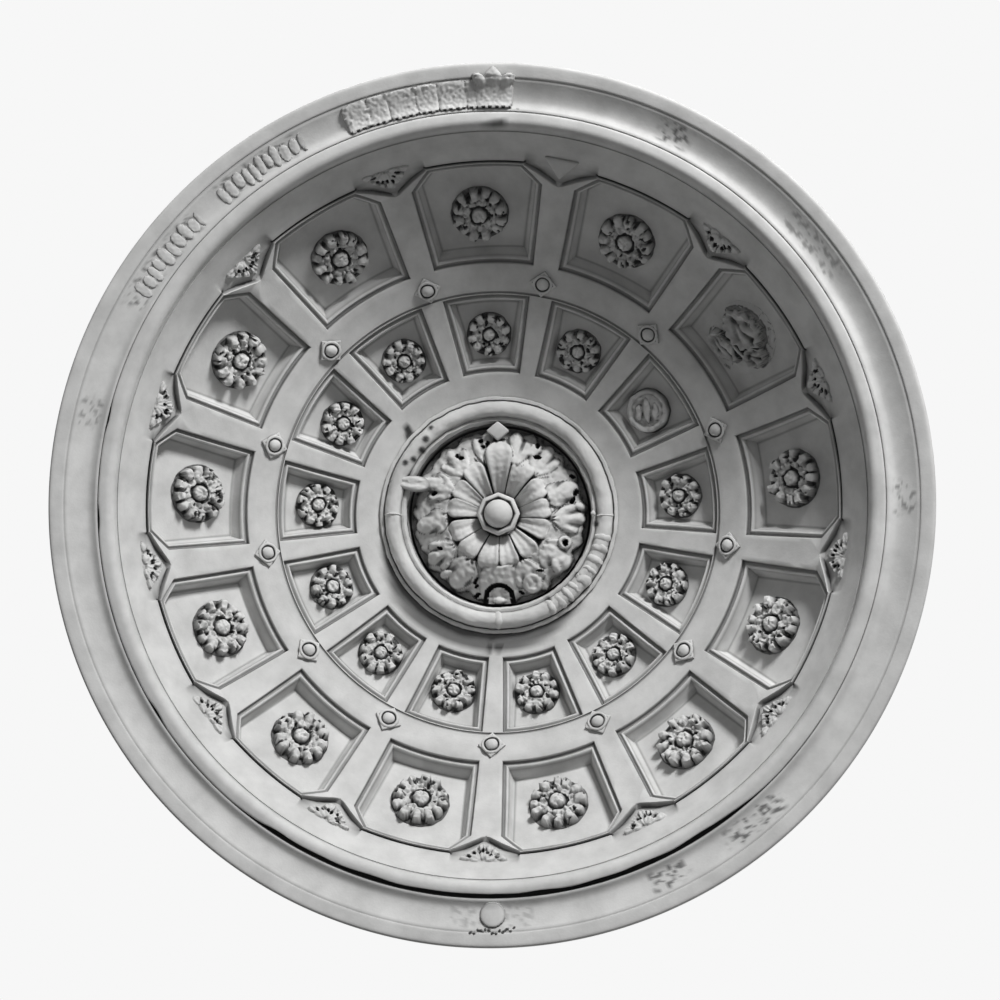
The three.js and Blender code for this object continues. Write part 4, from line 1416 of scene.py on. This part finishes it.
def cornice_section():
    """Closed section of the cornice: seat on the flange, joint, cove, roll and outer edge."""
    inner, face = LIP["r"] + LIP["roll"] + 0.004, COVE["face"]
    cove = [(r, float(cove_z(r))) for r in np.linspace(COVE["from"], COVE["to"], 20)]
    return [
        (CORNICE_BACK, 0.0), (CORNICE_BACK, CORNICE_SEAT), (inner, CORNICE_SEAT), (inner, -0.030),
        (inner, face + 0.0015), (inner + 0.0015, face), (COVE["from"] - 0.001, face), *cove,
        *ROLL, (RIM_RADIUS - 0.0002, -0.030), (RIM_RADIUS - 0.0002, -0.004),
        (RIM_RADIUS - 0.0012, -0.0012), (RIM_RADIUS - 0.004, 0.0),
    ]


def joint_dirt_and_shade(azimuth):
    """A little dirt in the open joint, and painted shade that darkens it most on the side away from the key light."""
    return mix(0.1, 1.0, 1 - smooth((apart(azimuth, JOINT_SHADE_AT) - 45) / 60))


def cornice_dirt_and_shade(co):
    """Dirt and painted shade in the joint, painted shade along the step to the roll, and dirt smudges in the cove."""
    r, azimuth = plan_of(co)
    joint = joint_dirt_and_shade(azimuth) if r < JOINT_RADIUS + 0.0009 else 0.0
    if co.z >= UNDERSIDE:
        return joint
    step = smooth(1 - abs(r - ROLL_EDGE + 0.0010) / 0.0022) * 0.35
    return max(joint, step, smudge(azimuth, r))


def smudge(azimuth, r):
    """Patchy dirt across the cove where the leaves are lost or worn."""
    patch = noise.noise(Vector((azimuth * 1.1, r * 90, 0))) + 0.6 * noise.noise(Vector((azimuth * 2.3, r * 190, 3)))
    inside = smooth((r - 0.812) / 0.010) * smooth((0.864 - r) / 0.008)
    spread = max(power * smooth((azimuth - start) / 1.5) * smooth((end - azimuth) / 1.5)
                 for turn in (0, 360) for start, end, power in [(a - turn, b - turn, p) for a, b, p in SMUDGES])
    return inside * spread * smooth((patch - 0.02) / 0.35)


def cove_strip(name, start, end, inner, outer, carve):
    """Relief laid in the cove, from azimuth to azimuth; carved over arc length and radius."""
    length = math.radians(end - start) * COVE_MIDDLE
    columns, rows = (max(8, round(side / STRIP_GRID)) for side in (length, outer - inner))

    def plan(u, v):
        return length * (u + 1) / 2, mix(inner, outer, (v + 1) / 2)

    strip = carved(name, columns, rows, plan, carve, -0.003, whole=True)
    shape(strip, lambda co: polar(co.y, start + math.degrees(co.x / COVE_MIDDLE), cornice_face(co.y) - co.z))
    close_up(strip, FINEST_MERGE)
    return strip


def dot_foot(relief, middle=0.0, half=math.inf):
    """Notches along the foot of a leaf block, black within half its width."""
    s = relief.x - middle
    foot = (np.cos(2 * np.pi * s / DOT_PITCH) < -0.1) & (relief.y < DOT_EDGE)
    relief.z = np.where(foot, 0.0008, relief.z)
    relief.dirt_and_shade = np.where(foot & (np.abs(s) < half), 1.0, relief.dirt_and_shade)


def bold_leaves(relief, rng, length, high):
    """Broad grainy blocks with dark dots along their foot."""
    place = 0.004
    while place < length - 0.008:
        pitch = rng.uniform(0.042, 0.060)
        relief.lobe((place + pitch / 2, 0.8365), math.pi / 2 + rng.uniform(-0.1, 0.1), 0.0285, pitch * 0.53,
                    high * 0.35, high * 0.65, rim=0.3, square=6)
        place += pitch
    for _ in range(round(length / 0.009)):
        relief.lobe((rng.uniform(0.004, length - 0.004), rng.uniform(0.814, 0.862)), rng.uniform(0, 3),
                    rng.uniform(0.004, 0.009), rng.uniform(0.003, 0.005), high * 0.72, high * 0.4, rim=0.25)
    dot_foot(relief)


def worn_leaves(relief, rng, length, high):
    """Low ovals, all that wear has left."""
    place = 0.004
    while place < length - 0.008:
        pitch = rng.uniform(0.016, 0.025)
        wear = rng.uniform(0.5, 1.0)
        middle = 0.837 + rng.uniform(-0.005, 0.005)
        relief.lobe((place + pitch / 2, middle), math.pi / 2 + rng.uniform(-0.1, 0.1), rng.uniform(0.015, 0.023),
                    pitch * 0.48, high * wear * 0.35, high * wear * 0.65, rim=0.5, square=2.2)
        place += pitch


def leaf_band(start, end, high, seed, leaves):
    """A row of leaves in the cove, bold or worn."""
    length = math.radians(end - start) * COVE_MIDDLE

    def carve(s, r):
        relief = Relief(s, r, STRIP_FLOOR, 0.3)
        leaves(relief, random.Random(seed), length, high)
        relief.roughen(high * 0.22, 0.006, seed)
        return relief

    return cove_strip("leaf_band", start, end, *BAND_EDGES, carve)


def top_palmette():
    """Crown of three lobes over a grainy block with dark dots along its foot."""
    def carve(s, r):
        relief = Relief(s, r, STRIP_FLOOR, 0.3)
        middle = math.radians(4.0) * COVE_MIDDLE
        relief.lobe((middle, 0.834), 0, 0.040, 0.0265, 0.005, 0.006, rim=0.4, square=5)
        rng = random.Random(33)
        for _ in range(16):
            relief.lobe((middle + rng.uniform(-0.033, 0.033), rng.uniform(0.815, 0.853)), rng.uniform(0, 3),
                        rng.uniform(0.004, 0.008), rng.uniform(0.003, 0.005), 0.0085, 0.0035, rim=0.35)
        for side in (-1, 1):
            relief.lobe((middle + side * 0.027, 0.862), math.pi / 2 - side * 0.8, 0.0180, 0.0115, 0.007, 0.009,
                        rim=0.45)
        relief.lobe((middle, 0.868), math.pi / 2, 0.0220, 0.0200, 0.006, 0.009, taper=-0.6, rim=0.45)
        dot_foot(relief, middle, 0.038)
        relief.roughen(0.0014, 0.006, 21)
        return relief

    return cove_strip("palmette", -3.3, 4.7, BAND_EDGES[0], 0.891, carve)


def bottom_palmette():
    """Flat round shell by the joint, with the dirt of a lost crown above it."""
    def carve(s, r):
        relief = Relief(s, r, STRIP_FLOOR, 0.2)
        middle = math.radians(4.2) * COVE_MIDDLE
        relief.lobe((middle, 0.8335), math.pi / 2, 0.0250, 0.0260, 0.0030, 0.0075, rim=0.6)
        rng = random.Random(31)
        for k in range(13):
            relief.speck((middle + (k - 6) * 0.0070, 0.866 + rng.uniform(-0.006, 0.004)), rng.uniform(0.003, 0.006),
                         0.0030, rng.uniform(0, 3), 0.0025)
        return relief

    return cove_strip("shell", 175.2, 183.6, 0.8080, 0.874, carve)


def rim_cornice():
    cornice = turned("rim_cornice", cornice_section(), 720)
    set_dirt_and_shade(cornice, [cornice_dirt_and_shade(v.co) for v in cornice.data.vertices])
    parts = [cornice, top_palmette(), bottom_palmette()]
    parts += [leaf_band(*band, 40 + k, worn_leaves if k else bold_leaves) for k, band in enumerate(LEAF_BANDS)]
    return join("rim_cornice", parts)


# Operators

class DOME_OT_shell(bpy.types.Operator):
    """Bowl with its ribs, coffers, frieze, lip and plain back"""

    bl_idname = "dome.shell"
    bl_label = "Bowl"

    def execute(self, context):
        settle(dome_shell(), ["dome_shell"])
        return {"FINISHED"}


class DOME_OT_cornice(bpy.types.Operator):
    """Cornice ring at the mouth with its worn leaves and palmettes"""

    bl_idname = "dome.cornice"
    bl_label = "Cornice"

    def execute(self, context):
        settle(rim_cornice(), ["rim_cornice"])
        return {"FINISHED"}


class DOME_OT_ring(bpy.types.Operator):
    """Ring round the crown flower with its bound leaves"""

    bl_idname = "dome.ring"
    bl_label = "Crown Ring"

    def execute(self, context):
        settle(medallion_ring(), ["medallion_ring"])
        return {"FINISHED"}


class DOME_OT_flower(bpy.types.Operator):
    """Flower at the crown: ball, collar, cupped petals and leaves"""

    bl_idname = "dome.flower"
    bl_label = "Crown Flower"

    def execute(self, context):
        settle(medallion_flower(), ["medallion_flower"], 50)
        return {"FINISHED"}


class DOME_OT_rosettes(bpy.types.Operator):
    """Flowers in both rows of coffers"""

    bl_idname = "dome.rosettes"
    bl_label = "Coffer Flowers"
    odd_sector = 3

    def execute(self, context):
        size = sizes()
        rng = random.Random(2)
        plans = (
            (OUTER_ROW, [model_rosette("outer_flower", size.outer_rosette, size.outer_petals, OUTER_HEIGHT, 3 + k)
                         for k in range(3)],
             model_leaf_cluster("outer_odd", size.outer_rosette * 1.1, OUTER_ODD_HEIGHT)),
            (INNER_ROW, [model_rosette("inner_flower", size.inner_rosette, size.inner_petals, INNER_HEIGHT, 6 + k)
                         for k in range(3)], model_leaf_disc("inner_odd", size.inner_rosette, INNER_HEIGHT)),
        )
        for row, flowers, odd in plans:
            for sector in range(1, SECTORS + 1):
                name = f"{row['name']}_rosette_{sector:02d}"
                model = odd if sector == self.odd_sector else flowers[sector % len(flowers)]
                spin = 0 if sector == self.odd_sector else rng.uniform(0, 6.28)
                piece = copy_of(model, name, Matrix.Rotation(spin, 4, "Z"))
                rise = Matrix.Translation((0, row["flower_rise"], 0))
                weather(piece, 0.0022, 0.016, sector + (40 if row is INNER_ROW else 0))
                shape(piece, lambda co: Vector((co.x, co.y, max(co.z, FLOWER_FOOT))))
                distance = size.bowl_radius + size.floor_depth
                piece.data.transform(facing_room(middle_tilt(row), (sector - 1) * SECTOR, distance) @ rise)
                settle(piece, [name], 60)
            discard(*flowers, odd)
        return {"FINISHED"}


class DOME_OT_buttons(bpy.types.Operator):
    """Diamond plates and buttons on the rib crossings"""

    bl_idname = "dome.buttons"
    bl_label = "Rib Buttons"

    def execute(self, context):
        size = sizes()
        button = model_button("button")
        for sector in range(1, SECTORS + 1):
            name = f"rib_button_{sector:02d}"
            piece = copy_of(button, name)
            weather(piece, 0.0012, 0.012, sector + 70)
            piece.data.transform(facing_room(tilt_at(size.crossing_radius), (sector - 0.5) * SECTOR, size.bowl_radius))
            settle(piece, [name], 40)
        discard(button)
        return {"FINISHED"}


class DOME_OT_spandrels(bpy.types.Operator):
    """Leaf sprays at the feet of the ribs"""

    bl_idname = "dome.spandrels"
    bl_label = "Spandrel Leaves"
    plain_sector = 1

    def execute(self, context):
        for sector in range(1, SECTORS + 1):
            name = f"spandrel_leaf_{sector:02d}"
            plain = sector == self.plain_sector
            piece = model_plain_spandrel(name) if plain else model_spandrel(name, sector + 90)
            distance = sizes().bowl_radius + SPANDREL_DEPTH
            piece.data.transform(facing_room(field_tilt(), (sector - 0.5) * SECTOR, distance))
            settle(piece, [name], 50)
        return {"FINISHED"}


# Studio

CAMERA_PLACE = Vector((0.34, 0.50, -5.4))
CAMERA_AIM = Vector((0.0230, 0.0006, -0.03))
CAMERA_LENS = 95.77
KEY_AZIMUTH = 28
KEY_RISE = math.radians(30)
KEY_REACH = 6.0

# Area lights as name, place, size and power
LIGHTS = (
    ("key", polar(KEY_REACH * math.cos(KEY_RISE), KEY_AZIMUTH, -KEY_REACH * math.sin(KEY_RISE)), 1.5, 400),
    ("back", Vector((-3.0, -4.0, 6.0)), 4.0, 430),
    ("back fill", Vector((4.5, 4.0, 3.0)), 4.0, 110),
)
AMBIENT = 0.14
FLOOR_SIZE = 380
FLOOR_LEVEL = -6


def add_camera():
    bpy.ops.object.camera_add(location=CAMERA_PLACE)
    camera = bpy.context.object
    ahead = (CAMERA_AIM - CAMERA_PLACE).normalized()
    right = ahead.cross(Vector((0, -1, 0))).normalized()
    up = right.cross(ahead)
    camera.rotation_euler = Matrix((right, up, -ahead)).transposed().to_euler()
    camera.data.lens = CAMERA_LENS
    camera.data.sensor_width = 36
    camera.data.clip_end = 200
    bpy.context.scene.camera = camera


def add_light(name, place, size, power):
    bpy.ops.object.light_add(type="AREA", location=place)
    light = bpy.context.object
    light.name = name
    light.data.shape = "DISK"
    light.data.size = size
    light.data.energy = power
    light.rotation_euler = (-place).to_track_quat("-Z", "Y").to_euler()
    light.visible_camera = False


def set_world(ambient):
    """Pale backdrop for the eye, softer light for the dome."""
    world = bpy.data.worlds.new("studio")
    bpy.context.scene.world = world
    world.use_nodes = True
    tree = world.node_tree
    tree.nodes.clear()
    seen = add_node(tree, "ShaderNodeBackground", Color=(*finish().backdrop, 1), Strength=1.0)
    lit = add_node(tree, "ShaderNodeBackground", Color=(1, 1, 1, 1), Strength=ambient)
    path = add_node(tree, "ShaderNodeLightPath")
    both = add_node(tree, "ShaderNodeMixShader", i0=path.outputs["Is Camera Ray"],
                    i1=lit.outputs["Background"], i2=seen.outputs["Background"])
    add_node(tree, "ShaderNodeOutputWorld", Surface=both.outputs["Shader"])


class DOME_OT_stage(bpy.types.Operator):
    """Floor, backdrop, lights and camera"""

    bl_idname = "dome.stage"
    bl_label = "Studio"

    def execute(self, context):
        deselect()
        bpy.ops.mesh.primitive_plane_add(size=FLOOR_SIZE, location=(0, 0, FLOOR_LEVEL))
        floor = context.object
        floor.name = "studio_floor"
        floor.data.materials.append(floor_material())
        floor.visible_diffuse = False
        for light in LIGHTS:
            add_light(*light)
        set_world(AMBIENT)
        add_camera()
        context.scene.view_settings.view_transform = "Standard"
        return {"FINISHED"}


class DOME_PT_panel(bpy.types.Panel):
    """Dome settings and pieces"""

    bl_idname = "DOME_PT_panel"
    bl_label = "Ceiling Dome"
    bl_space_type = "VIEW_3D"
    bl_region_type = "UI"
    bl_category = "Dome"

    def draw(self, context):
        for group in (context.scene.dome_sizes, context.scene.dome_finish):
            for name in group.__annotations__:
                self.layout.prop(group, name)
        for operator in PIECES:
            self.layout.operator(operator.bl_idname)


PIECES = (DOME_OT_stage, DOME_OT_shell, DOME_OT_cornice, DOME_OT_ring, DOME_OT_flower, DOME_OT_rosettes,
          DOME_OT_buttons, DOME_OT_spandrels)
CLASSES = (DomeSizes, DomeFinish, *PIECES, DOME_PT_panel)


def register():
    for cls in CLASSES:
        bpy.utils.register_class(cls)
    bpy.types.Scene.dome_sizes = bpy.props.PointerProperty(type=DomeSizes)
    bpy.types.Scene.dome_finish = bpy.props.PointerProperty(type=DomeFinish)


def unregister():
    del bpy.types.Scene.dome_finish
    del bpy.types.Scene.dome_sizes
    for cls in reversed(CLASSES):
        bpy.utils.unregister_class(cls)


def main():
    register()
    bpy.ops.dome.stage()
    bpy.ops.dome.shell()
    bpy.ops.dome.cornice()
    bpy.ops.dome.ring()
    bpy.ops.dome.flower()
    bpy.ops.dome.rosettes()
    bpy.ops.dome.buttons()
    bpy.ops.dome.spandrels()
    deselect()


if __name__ == "__main__":
    main()
